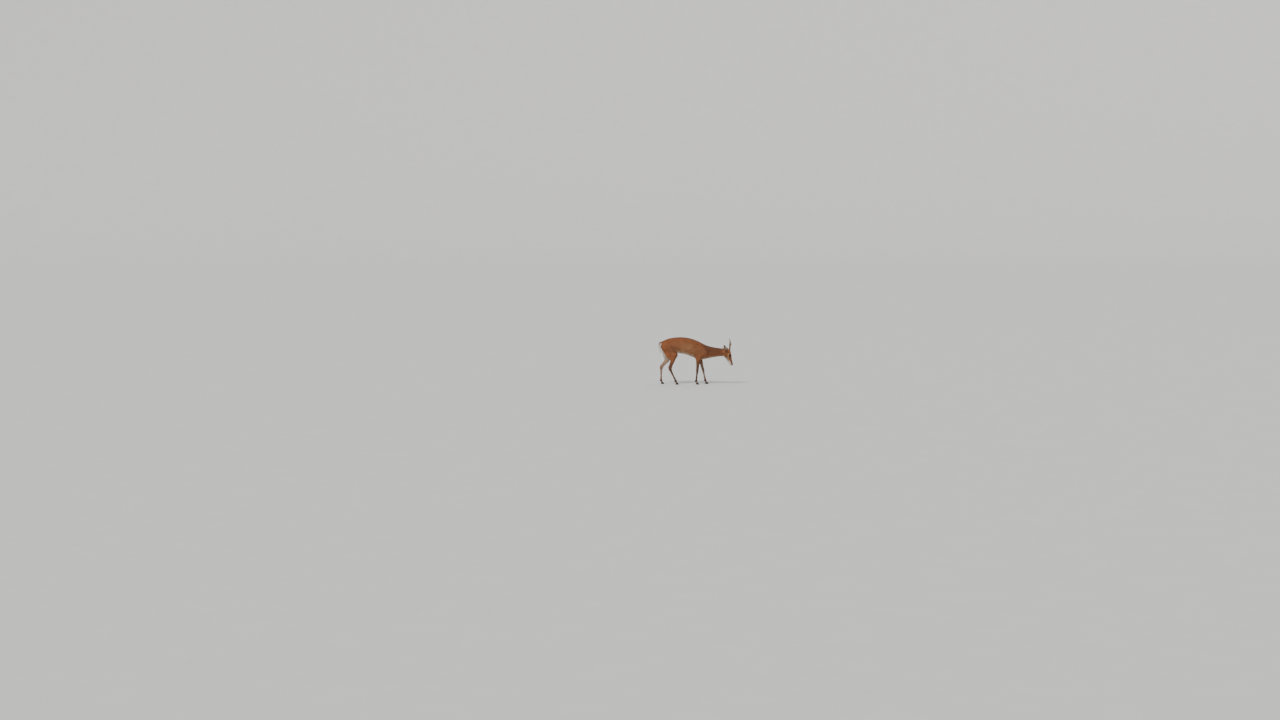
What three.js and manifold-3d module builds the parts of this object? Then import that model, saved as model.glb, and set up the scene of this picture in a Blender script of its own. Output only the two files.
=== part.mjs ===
// A life-size Indian muntjac buck, foraging at a slow walk with its neck level and its head lowered.
// Lengths are in millimetres: +X points to the head, +Y to the animal's left and +Z up.
// The flesh is one smooth field of muscle masses. It is meshed part by part and parted by thin cuts.

import * as THREE from 'three';
import { mergeVertices } from 'three/addons/utils/BufferGeometryUtils.js';
import Module from 'manifold-3d';

const wasm = await Module();
wasm.setup();

const { clamp, degToRad, lerp } = THREE.MathUtils;
const GAP = 0.3;
const SIDES = { left: 1, right: -1 };

// The trunk and neck as upright slices along the body: top line, underline and half the width
const TRUNK = [
  { at: -250, top: 541, bottom: 414, half: 46 },
  { at: -205, top: 560, bottom: 400, half: 68 },
  { at: -140, top: 575, bottom: 391, half: 84 },
  { at: -60, top: 582, bottom: 381, half: 91 },
  { at: 20, top: 578, bottom: 366, half: 101 },
  { at: 100, top: 561, bottom: 337, half: 102 },
  { at: 165, top: 537, bottom: 310, half: 90 },
  { at: 215, top: 512, bottom: 304, half: 74 },
  { at: 265, top: 487, bottom: 311, half: 64 },
  { at: 320, top: 468, bottom: 324, half: 56 },
  { at: 390, top: 454, bottom: 335, half: 50 },
  { at: 450, top: 445, bottom: 344, half: 46 },
  { at: 500, top: 437, bottom: 352, half: 40 },
];
const RUMP_CAP = 36;
const NAPE_CAP = 16;
const TRUNK_EGG = -0.14;

// The head as slices along its own axis, from the poll to the nose, with its top towards the forehead
const POLL = { x: 519, z: 437 };
const HEAD_DROP = degToRad(70);
const HEAD = [
  { at: 4, top: 24, bottom: -58, half: 32 },
  { at: 30, top: 33, bottom: -68, half: 40 },
  { at: 60, top: 36, bottom: -67, half: 42 },
  { at: 88, top: 33, bottom: -59, half: 41 },
  { at: 110, top: 28.5, bottom: -50, half: 36.5 },
  { at: 135, top: 23.5, bottom: -42, half: 29.5 },
  { at: 163, top: 19.5, bottom: -36, half: 24.5 },
  { at: 190, top: 17, bottom: -32, half: 22 },
  { at: 204, top: 13.5, bottom: -28.5, half: 20.5 },
];
const OCCIPUT_CAP = 18;
const NOSE_CAP = 13;
const HEAD_EGG = 0.16;
const EYE = { at: 86, up: 10, out: 30, radius: 14, lid: 2.2 };
const EYE_AIM = new THREE.Vector3(0.22, 0.95, 0.16).normalize();
const LID_OPENING = { along: 1.15, across: 0.78 };
const TEAR_SLIT = { at: 113, out: 36.5, up: 2, radii: [9.5, 5, 1.9], turn: 0.35 };
const NOSTRIL = { at: 214, out: 11.5, up: 0, radii: [6, 3, 3.4], turn: 0.5 };
const PEDICLE = { at: 46, up: 27, out: 17, radius: 9.6, length: 78, back: 0.9, rise: 0.4, spread: 0.2 };
const NOSE_PAD_AT = 204;

// Cheek, cheekbone and the wing of the nostril, on both sides of the head
const HEAD_MASSES = [
  { at: 62, out: 25, up: -34, radii: [34, 17, 25], blend: 14 },
  { at: 84, out: 33, up: -6, radii: [36, 9, 11], blend: 12 },
  { at: 198, out: 10, up: -2, radii: [17, 11, 14], blend: 8 },
];
const MOUTH = { corner: 160, front: 230, line: -15, dip: 0.6, thick: 1.6, depth: 4 };

// Leg joints in side view, as [x, z]. The hooves rest on the ground, where z is 0
const STANCE = {
  front_right: { shoulder: [250, 398], elbow: [173, 325], knee: [163, 172], fetlock: [149, 47], toe: 163 },
  front_left: { shoulder: [258, 400], elbow: [196, 322], knee: [236, 174], fetlock: [263, 49], toe: 279 },
  hind_right: { hip: [-212, 474], stifle: [-117, 366], hock: [-170, 186], fetlock: [-103, 46], toe: -88 },
  hind_left: { hip: [-214, 474], stifle: [-164, 348], hock: [-280, 196], fetlock: [-281, 46], toe: -266 },
};
const FRONT_OUT = { shoulder: 52, elbow: 60, knee: 51, fetlock: 47 };
const HIND_OUT = { hip: 39, stifle: 58, hock: 54, fetlock: 51 };
const CORONET = { back: 6, height: 24 };
const HOOF = { front: 12, heel: -14, frontHeight: 29, heelHeight: 16, cleft: 0.9 };
const HOOF_RINGS = [
  { height: 0, middle: 5.5, reach: 22.5, wide: 12.4 },
  { height: 0.3, middle: 2.8, reach: 19.2, wide: 13 },
  { height: 0.75, middle: -1.2, reach: 14.7, wide: 12.8 },
  { height: 1, middle: -3.4, reach: 12.2, wide: 12.4 },
];

// Dewclaws behind each fetlock, as {back, out, down} from its joint
const DEWCLAW = {
  root: { back: 6, out: 5, down: 2 },
  tip: { back: 19, out: 9, down: 15 },
  radii: [4.5, 4.5, 3.6, 1.2],
};

// How widely the masses of flesh run into each other
const BLEND = {
  body: 26,
  muscles: 16,
  muscleJoints: 8,
  legJoints: 10,
  eyeball: 8,
  ridges: 9,
  ridgeJoints: 6,
  lips: 4,
};

// Where the parts are divided: heights under the chest and belly, and slanted planes through the neck
const FORE_CUT = { height: 299, from: 80, to: 340 };
const HIND_CUT = { height: 371, slope: -0.055, from: -400, to: -38 };
const NECK_BASE = { x: 282, z: 400, normal: [0.985, 0, 0.17] };
const THROAT = { x: 478, z: 395, normal: [0.914, 0, -0.406] };

// Corners and cell sizes of the grids on which the flesh is meshed
const TORSO_GRID = [[-360, -140, 260], [340, 140, 620], [27, 17.5, 17.5]];
const NECK_GRID = [[220, -100, 280], [560, 100, 530], [19, 14, 14]];
const SKULL_GRID = [[-75, -80, -110], [245, 80, 80], [8.8, 6.8, 6.8]];
const LEG_GRID = {
  hind: { reach: 70, top: 420 },
  fore: { reach: 48, top: 340 },
  outer: 125,
  bottom: -20,
  cell: [8.3, 7.6, 19.5],
};

// The tail's flesh, and the long hair that hangs from its sides and tip
const TAIL = [
  { x: -262, z: 531, wide: 9, thick: 9 },
  { x: -284, z: 514, wide: 11, thick: 9 },
  { x: -294, z: 484, wide: 11, thick: 8.5 },
  { x: -295, z: 448, wide: 10, thick: 7.5 },
  { x: -289, z: 420, wide: 7, thick: 6 },
];
const FRINGE = { rows: 5, from: 0.16, turns: [-98, -38, 38, 98], length: 44, wide: 16, thick: 4 };

const COLOURS = {
  chestnut: { color: 0x9c5a30, roughness: 0.85, metalness: 0 },
  dusky: { color: 0x5a3a28, roughness: 0.85, metalness: 0 },
  white: { color: 0xe4ddd2, roughness: 0.9, metalness: 0 },
  horn: { color: 0x231d1a, roughness: 0.45, metalness: 0 },
  antler: { color: 0xa08058, roughness: 0.6, metalness: 0 },
  ivory: { color: 0xe8dfc8, roughness: 0.35, metalness: 0 },
  eye: { color: 0x120b08, roughness: 0.1, metalness: 0 },
  nose: { color: 0x1a1615, roughness: 0.35, metalness: 0 },
};

// Joins two distances with a fillet about as wide as the blend
function join(a, b, blend) {
  const h = Math.max(blend - Math.abs(a - b), 0) / blend;
  return Math.min(a, b) - (h * h * blend) / 4;
}

// A value that runs smoothly through the stations
function along(stations, at, key) {
  const last = stations.length - 1;
  const place = clamp(at, stations[0].at, stations[last].at);
  let i = 0;
  while (i < last - 1 && place > stations[i + 1].at) i += 1;
  const slope = (j) => {
    const before = stations[Math.max(j - 1, 0)];
    const after = stations[Math.min(j + 1, last)];
    return (after[key] - before[key]) / (after.at - before.at);
  };
  const [a, b] = [stations[i], stations[i + 1]];
  const span = b.at - a.at;
  const t = (place - a.at) / span;
  const ease = t * t * (3 - 2 * t);
  const bend = slope(i) * span * t * (1 - t) ** 2 - slope(i + 1) * span * t * t * (1 - t);
  return lerp(a[key], b[key], ease) + bend;
}

// Distance to an ellipsoid, near enough close to its surface
function ellipsoid(dx, dy, dz, rx, ry, rz) {
  const reach = Math.hypot(dx / rx, dy / ry, dz / rz);
  const steep = Math.hypot(dx / rx ** 2, dy / ry ** 2, dz / rz ** 2);
  return steep > 1e-6 ? (reach * (reach - 1)) / steep : -Math.min(rx, ry, rz);
}

// Distance to a tube of egg-shaped slices, closed by half ellipsoids
function sliced(stations, at, across, up, egg, capBefore, capAfter) {
  const place = clamp(at, stations[0].at, stations.at(-1).at);
  const top = along(stations, place, 'top');
  const bottom = along(stations, place, 'bottom');
  const tall = (top - bottom) / 2;
  const lift = up - (top + bottom) / 2;
  const wide = along(stations, place, 'half') * (1 + egg * clamp(lift / tall, -1, 1));
  return ellipsoid(at - place, across, lift, at < place ? capBefore : capAfter, wide, tall);
}

// Distance to a limb through joints of {x, y, z, r, flat}, where flat is its width as a share of its depth
function limb(joints, x, y, z, blend) {
  let nearest = Infinity;
  for (let i = 0; i + 1 < joints.length; i += 1) {
    const [a, b] = [joints[i], joints[i + 1]];
    const [dx, dy, dz] = [b.x - a.x, b.y - a.y, b.z - a.z];
    const t = clamp(((x - a.x) * dx + (y - a.y) * dy + (z - a.z) * dz) / (dx * dx + dy * dy + dz * dz), 0, 1);
    const aside = (y - a.y - t * dy) / lerp(a.flat, b.flat, t);
    const away = Math.hypot(x - a.x - t * dx, aside, z - a.z - t * dz) - lerp(a.r, b.r, t);
    nearest = i === 0 ? away : join(nearest, away, blend);
  }
  return nearest;
}

const joint = ([x, z], y, r, flat) => ({ x, y, z, r, flat });
const between = ([ax, az], [bx, bz], t) => [lerp(ax, bx, t), lerp(az, bz, t)];
const shifted = ([x, z], dx, dz) => [x + dx, z + dz];
const coronetOf = (pose) => [pose.toe - CORONET.back, CORONET.height];

// Shoulder blade, upper arm, elbow point and the foreleg down to its coronet
function foreMasses(pose, side) {
  const out = Object.fromEntries(Object.entries(FRONT_OUT).map(([k, v]) => [k, v * side]));
  const leg = [
    joint(pose.shoulder, out.shoulder, 40, 0.6),
    joint(pose.elbow, out.elbow, 33, 0.62),
    joint(between(pose.elbow, pose.knee, 0.4), lerp(out.elbow, out.knee, 0.4), 21, 0.76),
    joint(pose.knee, out.knee, 15, 0.92),
    joint(between(pose.knee, pose.fetlock, 0.2), out.knee, 11.5, 0.95),
    joint(between(pose.knee, pose.fetlock, 0.7), out.fetlock, 9.6, 0.95),
    joint(pose.fetlock, out.fetlock, 12.6, 0.95),
    joint(coronetOf(pose), out.fetlock, 12.4, 1.08),
  ];
  const blade = [
    joint(shifted(pose.shoulder, -48, 80), 36 * side, 27, 0.6),
    joint(pose.shoulder, out.shoulder - 2 * side, 44, 0.58),
  ];
  const triceps = [
    joint(shifted(pose.shoulder, -62, 42), 50 * side, 44, 0.5),
    joint(shifted(pose.elbow, -10, 16), out.elbow, 27, 0.62),
  ];
  return { leg, muscles: [blade, triceps] };
}

// Thigh, hamstring, calf, heel tendon and the hind leg down to its coronet
function hindMasses(pose, side) {
  const out = Object.fromEntries(Object.entries(HIND_OUT).map(([k, v]) => [k, v * side]));
  const shank = [pose.hock[0] - pose.fetlock[0], pose.hock[1] - pose.fetlock[1]];
  const reach = 27 / Math.hypot(...shank);
  const heel = shifted(pose.hock, shank[0] * reach - 5, shank[1] * reach);
  const leg = [
    joint(pose.hip, out.hip, 66, 0.6),
    joint(pose.stifle, out.stifle, 40, 0.64),
    joint(between(pose.stifle, pose.hock, 0.42), lerp(out.stifle, out.hock, 0.42), 24, 0.74),
    joint(between(pose.stifle, pose.hock, 0.8), lerp(out.stifle, out.hock, 0.8), 13.5, 0.86),
    joint(pose.hock, out.hock, 16, 0.82),
    joint(between(pose.hock, pose.fetlock, 0.3), out.fetlock, 11.6, 0.9),
    joint(between(pose.hock, pose.fetlock, 0.75), out.fetlock, 10, 0.95),
    joint(pose.fetlock, out.fetlock, 13, 0.95),
    joint(coronetOf(pose), out.fetlock, 12.4, 1.08),
  ];
  const hamstring = [
    joint([-250, 460], 31 * side, 31, 0.74),
    joint(shifted(between(pose.hip, pose.stifle, 0.72), -44, -34), 50 * side, 34, 0.66),
    joint(shifted(between(pose.stifle, pose.hock, 0.34), -17, 3), lerp(out.stifle, out.hock, 0.3), 17, 0.75),
  ];
  const tendon = [
    joint(shifted(between(pose.stifle, pose.hock, 0.4), -17, 0), lerp(out.stifle, out.hock, 0.4), 11, 0.7),
    joint(heel, out.hock, 8.5, 0.85),
    joint(pose.hock, out.hock, 12.5, 0.85),
  ];
  return { leg, muscles: [hamstring, tendon] };
}

const LIMBS = Object.entries(STANCE).map(([name, pose]) => {
  const side = SIDES[name.split('_')[1]];
  return pose.hip ? hindMasses(pose, side) : foreMasses(pose, side);
});

// Head places are {at, up, out}: along the head from the poll, towards the forehead, and sideways
const headAxis = new THREE.Vector3(Math.cos(HEAD_DROP), 0, -Math.sin(HEAD_DROP));
const headTop = new THREE.Vector3(Math.sin(HEAD_DROP), 0, Math.cos(HEAD_DROP));
const headPoint = (at, up, out) => new THREE.Vector3(POLL.x, out, POLL.z)
  .addScaledVector(headAxis, at)
  .addScaledVector(headTop, up);

// A limb joint given in head places
function headJoint(at, up, out, r, flat = 1) {
  const p = headPoint(at, up, out);
  return { x: p.x, y: p.y, z: p.z, r, flat };
}

const pedicleAim = new THREE.Vector3(-PEDICLE.back, PEDICLE.spread, PEDICLE.rise).normalize();
const pedicleAt = (reach, side) => [
  PEDICLE.at + pedicleAim.x * reach,
  PEDICLE.up + pedicleAim.z * reach,
  side * (PEDICLE.out + pedicleAim.y * reach),
];

// Brow ridges that run down the face from the pedicles, and the pedicles themselves
const RIDGES = Object.values(SIDES).map((side) => [
  headJoint(132, 18, 9 * side, 4.5),
  headJoint(98, 26, 15 * side, 7),
  headJoint(62, 30, 18 * side, 9),
  headJoint(...pedicleAt(0, side), PEDICLE.radius + 1),
  headJoint(...pedicleAt(PEDICLE.length + 20, side), PEDICLE.radius - 1.5),
]);

// Upper and lower lips on each side, swollen along the line of the mouth
const LIPS = Object.values(SIDES).flatMap((side) => [
  [
    headJoint(162, -9.5, 19 * side, 4.5),
    headJoint(188, -8.5, 17.3 * side, 6.4),
    headJoint(207, -7, 12 * side, 6),
  ],
  [
    headJoint(166, -22, 14.5 * side, 4),
    headJoint(190, -21, 13.6 * side, 5.2),
    headJoint(206, -20, 8.5 * side, 4.8),
  ],
]);

function headField(x, y, z) {
  const at = (x - POLL.x) * headAxis.x + (z - POLL.z) * headAxis.z;
  const up = (x - POLL.x) * headTop.x + (z - POLL.z) * headTop.z;
  const out = Math.abs(y);
  const { radius, lid } = EYE;
  const ball = Math.hypot(at - EYE.at, up - EYE.up, out - EYE.out) - radius - lid;
  let d = sliced(HEAD, at, y, up, HEAD_EGG, OCCIPUT_CAP, NOSE_CAP);
  for (const mass of HEAD_MASSES) {
    d = join(d, ellipsoid(at - mass.at, out - mass.out, up - mass.up, ...mass.radii), mass.blend);
  }
  d = join(d, ball, BLEND.eyeball);
  for (const ridge of RIDGES) d = join(d, limb(ridge, x, y, z, BLEND.ridgeJoints), BLEND.ridges);
  for (const lip of LIPS) d = join(d, limb(lip, x, y, z, BLEND.lips), BLEND.lips);
  return d;
}

// Distance to the coat's outer surface over the whole animal, apart from ears, tail and hooves
function flesh(x, y, z) {
  let d = sliced(TRUNK, x, y, z, TRUNK_EGG, RUMP_CAP, NAPE_CAP);
  for (const { leg, muscles } of LIMBS) {
    const masses = muscles.reduce(
      (sum, muscle) => join(sum, limb(muscle, x, y, z, BLEND.muscleJoints), BLEND.muscles),
      limb(leg, x, y, z, BLEND.legJoints),
    );
    d = join(d, masses, BLEND.body);
  }
  return join(d, headField(x, y, z), BLEND.body);
}

// Closed geometry from loose triangles, with shared vertices merged
function closedGeometry(positions, triangles) {
  const geometry = new THREE.BufferGeometry();
  geometry.setAttribute('position', new THREE.Float32BufferAttribute(positions, 3));
  geometry.setIndex(triangles);
  return geometry;
}

function solidFrom(positions, triangles) {
  return new wasm.Manifold(new wasm.Mesh({
    numProp: 3,
    vertProperties: new Float32Array(positions),
    triVerts: new Uint32Array(triangles),
  }));
}

function solidOf(geometry) {
  const bare = new THREE.BufferGeometry();
  bare.setAttribute('position', geometry.getAttribute('position'));
  bare.setIndex(geometry.index);
  const merged = mergeVertices(bare, 1e-3);
  return solidFrom(merged.getAttribute('position').array, merged.index.array);
}

// Moves a point onto the surface where the field is zero
function settle(field, point, most) {
  const step = 0.5;
  for (let round = 0; round < 3; round += 1) {
    const [x, y, z] = point;
    const value = field(x, y, z);
    const slope = [
      (field(x + step, y, z) - field(x - step, y, z)) / (2 * step),
      (field(x, y + step, z) - field(x, y - step, z)) / (2 * step),
      (field(x, y, z + step) - field(x, y, z - step)) / (2 * step),
    ];
    const steep = slope[0] ** 2 + slope[1] ** 2 + slope[2] ** 2;
    const move = clamp(value / Math.max(steep, 0.1), -most, most);
    slope.forEach((s, i) => { point[i] -= s * move; });
  }
}

// Meshes the surface where a field is zero inside a box, by surface nets, and closes it at the box
function meshField(field, low, high, cell) {
  const inset = cell.map((size) => 1.2 * size);
  const inBox = (...p) => Math.max(...p.map((v, i) => Math.max(low[i] + inset[i] - v, v - high[i] + inset[i])));
  const count = low.map((v, i) => Math.ceil((high[i] - v) / cell[i]) + 1);
  const corner = (i, j, k) => [low[0] + i * cell[0], low[1] + j * cell[1], low[2] + k * cell[2]];
  const index = (i, j, k) => (k * count[1] + j) * count[0] + i;
  const values = new Float64Array(count[0] * count[1] * count[2]);
  for (let k = 0; k < count[2]; k += 1) {
    for (let j = 0; j < count[1]; j += 1) {
      for (let i = 0; i < count[0]; i += 1) {
        const [x, y, z] = corner(i, j, k);
        values[index(i, j, k)] = Math.max(field(x, y, z), inBox(x, y, z));
      }
    }
  }
  const positions = [];
  const vertexOf = new Map();
  const cellVertex = (i, j, k) => {
    const key = index(i, j, k);
    if (vertexOf.has(key)) return vertexOf.get(key);
    const sum = [0, 0, 0];
    let crossings = 0;
    for (let axis = 0; axis < 3; axis += 1) {
      for (let n = 0; n < 4; n += 1) {
        const start = [i, j, k];
        start[(axis + 1) % 3] += n & 1;
        start[(axis + 2) % 3] += n >> 1;
        const end = [...start];
        end[axis] += 1;
        const [a, b] = [values[index(...start)], values[index(...end)]];
        if ((a < 0) === (b < 0)) continue;
        const t = a / (a - b);
        const [p, q] = [corner(...start), corner(...end)];
        for (let c = 0; c < 3; c += 1) sum[c] += lerp(p[c], q[c], t);
        crossings += 1;
      }
    }
    const point = sum.map((v) => v / crossings);
    if (inBox(...point) < -cell[0] * 0.5) settle(field, point, Math.min(...cell) * 0.4);
    vertexOf.set(key, positions.length / 3);
    positions.push(...point);
    return vertexOf.get(key);
  };
  const triangles = [];
  const place = (v) => new THREE.Vector3().fromArray(positions, 3 * v);
  for (let k = 1; k < count[2] - 1; k += 1) {
    for (let j = 1; j < count[1] - 1; j += 1) {
      for (let i = 1; i < count[0] - 1; i += 1) {
        const here = values[index(i, j, k)] < 0;
        for (let axis = 0; axis < 3; axis += 1) {
          const next = [i, j, k];
          next[axis] += 1;
          if ((values[index(...next)] < 0) === here) continue;
          const ring = [[0, 0], [-1, 0], [-1, -1], [0, -1]].map(([m, n]) => {
            const at = [i, j, k];
            at[(axis + 1) % 3] += m;
            at[(axis + 2) % 3] += n;
            return cellVertex(...at);
          });
          const [a, b, c, d] = here ? ring : ring.reverse();
          const short = place(a).distanceTo(place(c)) <= place(b).distanceTo(place(d));
          triangles.push(...(short ? [a, b, c, a, c, d] : [a, b, d, b, c, d]));
        }
      }
    }
  }
  return solidFrom(positions, triangles);
}

// A closed skin through rings of equally many points, with both ends capped
function loft(rings) {
  const sides = rings[0].length;
  const positions = rings.flatMap((ring) => ring.flatMap((p) => p.toArray()));
  const triangles = [];
  for (let r = 0; r + 1 < rings.length; r += 1) {
    for (let s = 0; s < sides; s += 1) {
      const [a, b] = [r * sides + s, r * sides + ((s + 1) % sides)];
      triangles.push(a, b, b + sides, a, b + sides, a + sides);
    }
  }
  for (const end of [0, rings.length - 1]) {
    const middle = positions.length / 3;
    const centre = new THREE.Vector3();
    rings[end].forEach((p) => centre.addScaledVector(p, 1 / sides));
    positions.push(...centre.toArray());
    for (let s = 0; s < sides; s += 1) {
      const [a, b] = [end * sides + s, end * sides + ((s + 1) % sides)];
      triangles.push(...(end === 0 ? [b, a, middle] : [a, b, middle]));
    }
  }
  const solid = solidOf(closedGeometry(positions, triangles));
  if (solid.volume() > 0) return solid;
  for (let i = 0; i < triangles.length; i += 3) {
    [triangles[i + 1], triangles[i + 2]] = [triangles[i + 2], triangles[i + 1]];
  }
  return solidOf(closedGeometry(positions, triangles));
}

// A round rod along points, with its radius at each point
function rod(points, radii, sides) {
  const curve = new THREE.CatmullRomCurve3(points);
  const steps = radii.length - 1;
  const frames = curve.computeFrenetFrames(steps);
  return loft(radii.map((radius, i) => {
    const centre = curve.getPointAt(i / steps);
    return Array.from({ length: sides }, (_, s) => {
      const turn = (2 * Math.PI * s) / sides;
      return centre.clone()
        .addScaledVector(frames.normals[i], radius * Math.cos(turn))
        .addScaledVector(frames.binormals[i], radius * Math.sin(turn));
    });
  }));
}

// Everything on the side of a plane that its normal points to, starting a little way along it
function beyond(x, z, normal, start) {
  const size = 2000;
  const geometry = new THREE.BoxGeometry(size, size, size).translate(0, 0, size / 2 + start);
  const turn = new THREE.Quaternion().setFromUnitVectors(
    new THREE.Vector3(0, 0, 1),
    new THREE.Vector3(...normal).normalize(),
  );
  return solidOf(geometry.applyQuaternion(turn).translate(x, 0, z));
}

const flipped = (normal) => normal.map((v) => -v);

// The space under a belly cut, lowered by the gap that it keeps
function under(cut, lowered) {
  const rise = (x) => cut.height + (cut.slope ?? 0) * (x - cut.to) - lowered;
  const shape = new THREE.Shape([
    new THREE.Vector2(cut.from, -10),
    new THREE.Vector2(cut.to, -10),
    new THREE.Vector2(cut.to, rise(cut.to)),
    new THREE.Vector2(cut.from, rise(cut.from)),
  ]);
  const depth = 400;
  const geometry = new THREE.ExtrudeGeometry(shape, { depth, bevelEnabled: false });
  return solidOf(geometry.rotateX(Math.PI / 2).translate(0, depth / 2, 0));
}

const largest = (solid) => solid.decompose().sort((a, b) => b.volume() - a.volume())[0];

// Pieces hold their solid until the group is filled at the end
const pieces = new Map();
function piece(name, solid, look) {
  pieces.set(name, { solid: largest(solid), look });
}

const neckBefore = beyond(NECK_BASE.x, NECK_BASE.z, flipped(NECK_BASE.normal), GAP / 2);
const neckBeyond = beyond(NECK_BASE.x, NECK_BASE.z, NECK_BASE.normal, GAP / 2);
const throatBefore = beyond(THROAT.x, THROAT.z, flipped(THROAT.normal), GAP / 2);
const throatBeyond = beyond(THROAT.x, THROAT.z, THROAT.normal, GAP / 2);

// Torso with shoulders and haunches, and the neck
const torso = meshField(flesh, ...TORSO_GRID)
  .subtract(under(FORE_CUT, -GAP / 2))
  .subtract(under(HIND_CUT, -GAP / 2))
  .intersect(neckBefore);
piece('torso', torso, 'chestnut');
const neck = meshField(flesh, ...NECK_GRID)
  .intersect(neckBeyond)
  .intersect(throatBefore);
piece('neck', neck, 'chestnut');

// A leg from its cut under the body down to the slanted top of the hooves
function makeLeg(name, pose) {
  const hind = Boolean(pose.hip);
  const side = SIDES[name.split('_')[1]];
  const xs = hind
    ? [pose.hock[0], pose.fetlock[0], pose.toe, pose.stifle[0]]
    : [pose.elbow[0], pose.knee[0], pose.fetlock[0], pose.toe];
  const { reach, top } = hind ? LEG_GRID.hind : LEG_GRID.fore;
  const low = [Math.min(...xs) - reach, side > 0 ? 0 : -LEG_GRID.outer, LEG_GRID.bottom];
  const high = [Math.max(...xs) + reach, side > 0 ? LEG_GRID.outer : 0, top];
  const pasternSide = beyond(
    pose.toe,
    (HOOF.frontHeight + HOOF.heelHeight) / 2,
    [HOOF.heelHeight - HOOF.frontHeight, 0, HOOF.front - HOOF.heel],
    GAP / 2,
  );
  const leg = meshField(flesh, low, high, LEG_GRID.cell)
    .intersect(under(hind ? HIND_CUT : FORE_CUT, GAP / 2))
    .intersect(pasternSide);
  const out = (hind ? HIND_OUT : FRONT_OUT).fetlock * side;
  const [fetlockX, fetlockZ] = pose.fetlock;
  const dewclaws = [-1, 1].map((inner) => {
    const ends = [DEWCLAW.root, DEWCLAW.tip]
      .map((end) => new THREE.Vector3(fetlockX - end.back, out + end.out * inner, fetlockZ - end.down));
    return rod(ends, DEWCLAW.radii, 6);
  });
  piece(`leg_${name}`, dewclaws.reduce((sum, claw) => sum.add(claw), leg), 'dusky');
}

// One ring of a hoof: straight along the cleft, round outside and drawn out to the toe
function hoofRing(toe, out, outward, { middle, reach, wide, height }, top) {
  const steps = 9;
  return Array.from({ length: steps }, (_, i) => {
    const turn = (Math.PI * i) / (steps - 1);
    const x = middle + reach * Math.cos(turn);
    const aside = HOOF.cleft + wide * Math.sin(turn) ** 0.8;
    return new THREE.Vector3(toe + x, out + outward * aside, height * top(x));
  });
}

function makeHooves(name, pose) {
  const hind = Boolean(pose.hip);
  const side = SIDES[name.split('_')[1]];
  const out = (hind ? HIND_OUT : FRONT_OUT).fetlock * side;
  const slope = (HOOF.frontHeight - HOOF.heelHeight) / (HOOF.front - HOOF.heel);
  const top = (x) => (HOOF.frontHeight + HOOF.heelHeight) / 2 + slope * x - GAP;
  for (const [claw, outward] of Object.entries({ outer: side, inner: -side })) {
    const rings = HOOF_RINGS.map((ring) => hoofRing(pose.toe, out, outward, ring, top));
    piece(`hoof_${name}_${claw}`, loft(rings), 'horn');
  }
}

for (const [name, pose] of Object.entries(STANCE)) {
  makeLeg(name, pose);
  makeHooves(name, pose);
}

// The head in its own frame, from here on: x runs from the poll to the nose, z towards the forehead
const inHead = (field) => (x, y, z) => {
  const p = headPoint(x, z, y);
  return field(p.x, p.y, p.z);
};
const headTurn = new THREE.Matrix4()
  .makeBasis(headAxis, new THREE.Vector3(0, 1, 0), headTop)
  .setPosition(POLL.x, 0, POLL.z);
const intoHead = (solid) => solid.transform(headTurn.clone().invert().elements);
const skull = (spare) => meshField(
  inHead((x, y, z) => flesh(x, y, z) - spare),
  ...SKULL_GRID,
);
const eyeCentre = (side) => new THREE.Vector3(EYE.at, EYE.out * side, EYE.up);
const eyeball = (side, spare) => solidOf(
  new THREE.SphereGeometry(EYE.radius + spare, 14, 9).translate(...eyeCentre(side).toArray()),
);

// The almond opening between the lids, widening outwards from the middle of the eye
function lidOpening(side) {
  const aim = EYE_AIM.clone().setY(EYE_AIM.y * side);
  const line = new THREE.Vector3(0.97, 0, -0.22).projectOnPlane(aim).normalize();
  const rise = new THREE.Vector3().crossVectors(aim, line).multiplyScalar(side);
  const ring = (reach) => Array.from({ length: 14 }, (_, i) => {
    const turn = (2 * Math.PI * i) / 14;
    return eyeCentre(side)
      .addScaledVector(aim, reach)
      .addScaledVector(line, reach * LID_OPENING.along * Math.cos(turn))
      .addScaledVector(rise, reach * LID_OPENING.across * Math.sin(turn) * (1 - 0.25 * Math.cos(turn) ** 2));
  });
  return loft([ring(2), ring(30)]);
}

// The line of the mouth, cut a few millimetres deep round the muzzle
function mouthCut() {
  const { corner, front, line, dip, thick, depth } = MOUTH;
  const edge = (lift) => Array.from({ length: 7 }, (_, i) => {
    const t = i / 6;
    return new THREE.Vector2(lerp(corner, front, t), line - dip * Math.sin(Math.PI * t) + lift);
  });
  const shape = new THREE.Shape([...edge(-thick / 2), ...edge(thick / 2).reverse()]);
  const wide = 90;
  const sheet = new THREE.ExtrudeGeometry(shape, { depth: wide, bevelEnabled: false })
    .rotateX(Math.PI / 2)
    .translate(0, wide / 2, 0);
  return solidOf(sheet).subtract(skull(-depth));
}

// A hollow shaped like a stretched ball, on one side of the head
function hollow({ at, out, up, radii, turn }, side) {
  const geometry = new THREE.SphereGeometry(1, 10, 7).scale(...radii).rotateY(turn);
  return solidOf(geometry.translate(at, out * side, up));
}

const headInside = intoHead(throatBeyond);
let head = skull(0).intersect(headInside).subtract(mouthCut());
for (const side of Object.values(SIDES)) {
  head = head
    .subtract(lidOpening(side))
    .subtract(eyeball(side, GAP))
    .subtract(hollow(TEAR_SLIT, side));
}
const nostrils = Object.values(SIDES).map((side) => hollow(NOSTRIL, side)).reduce((a, b) => a.add(b));
const noseSide = (start) => solidOf(
  new THREE.BoxGeometry(100, 200, 40).translate(NOSE_PAD_AT + 50 + start, 0, 10),
);
piece('head', head.subtract(noseSide(-GAP / 2)).subtract(nostrils), 'chestnut');
piece('nose', head.intersect(noseSide(GAP / 2)).subtract(nostrils), 'nose');

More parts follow.
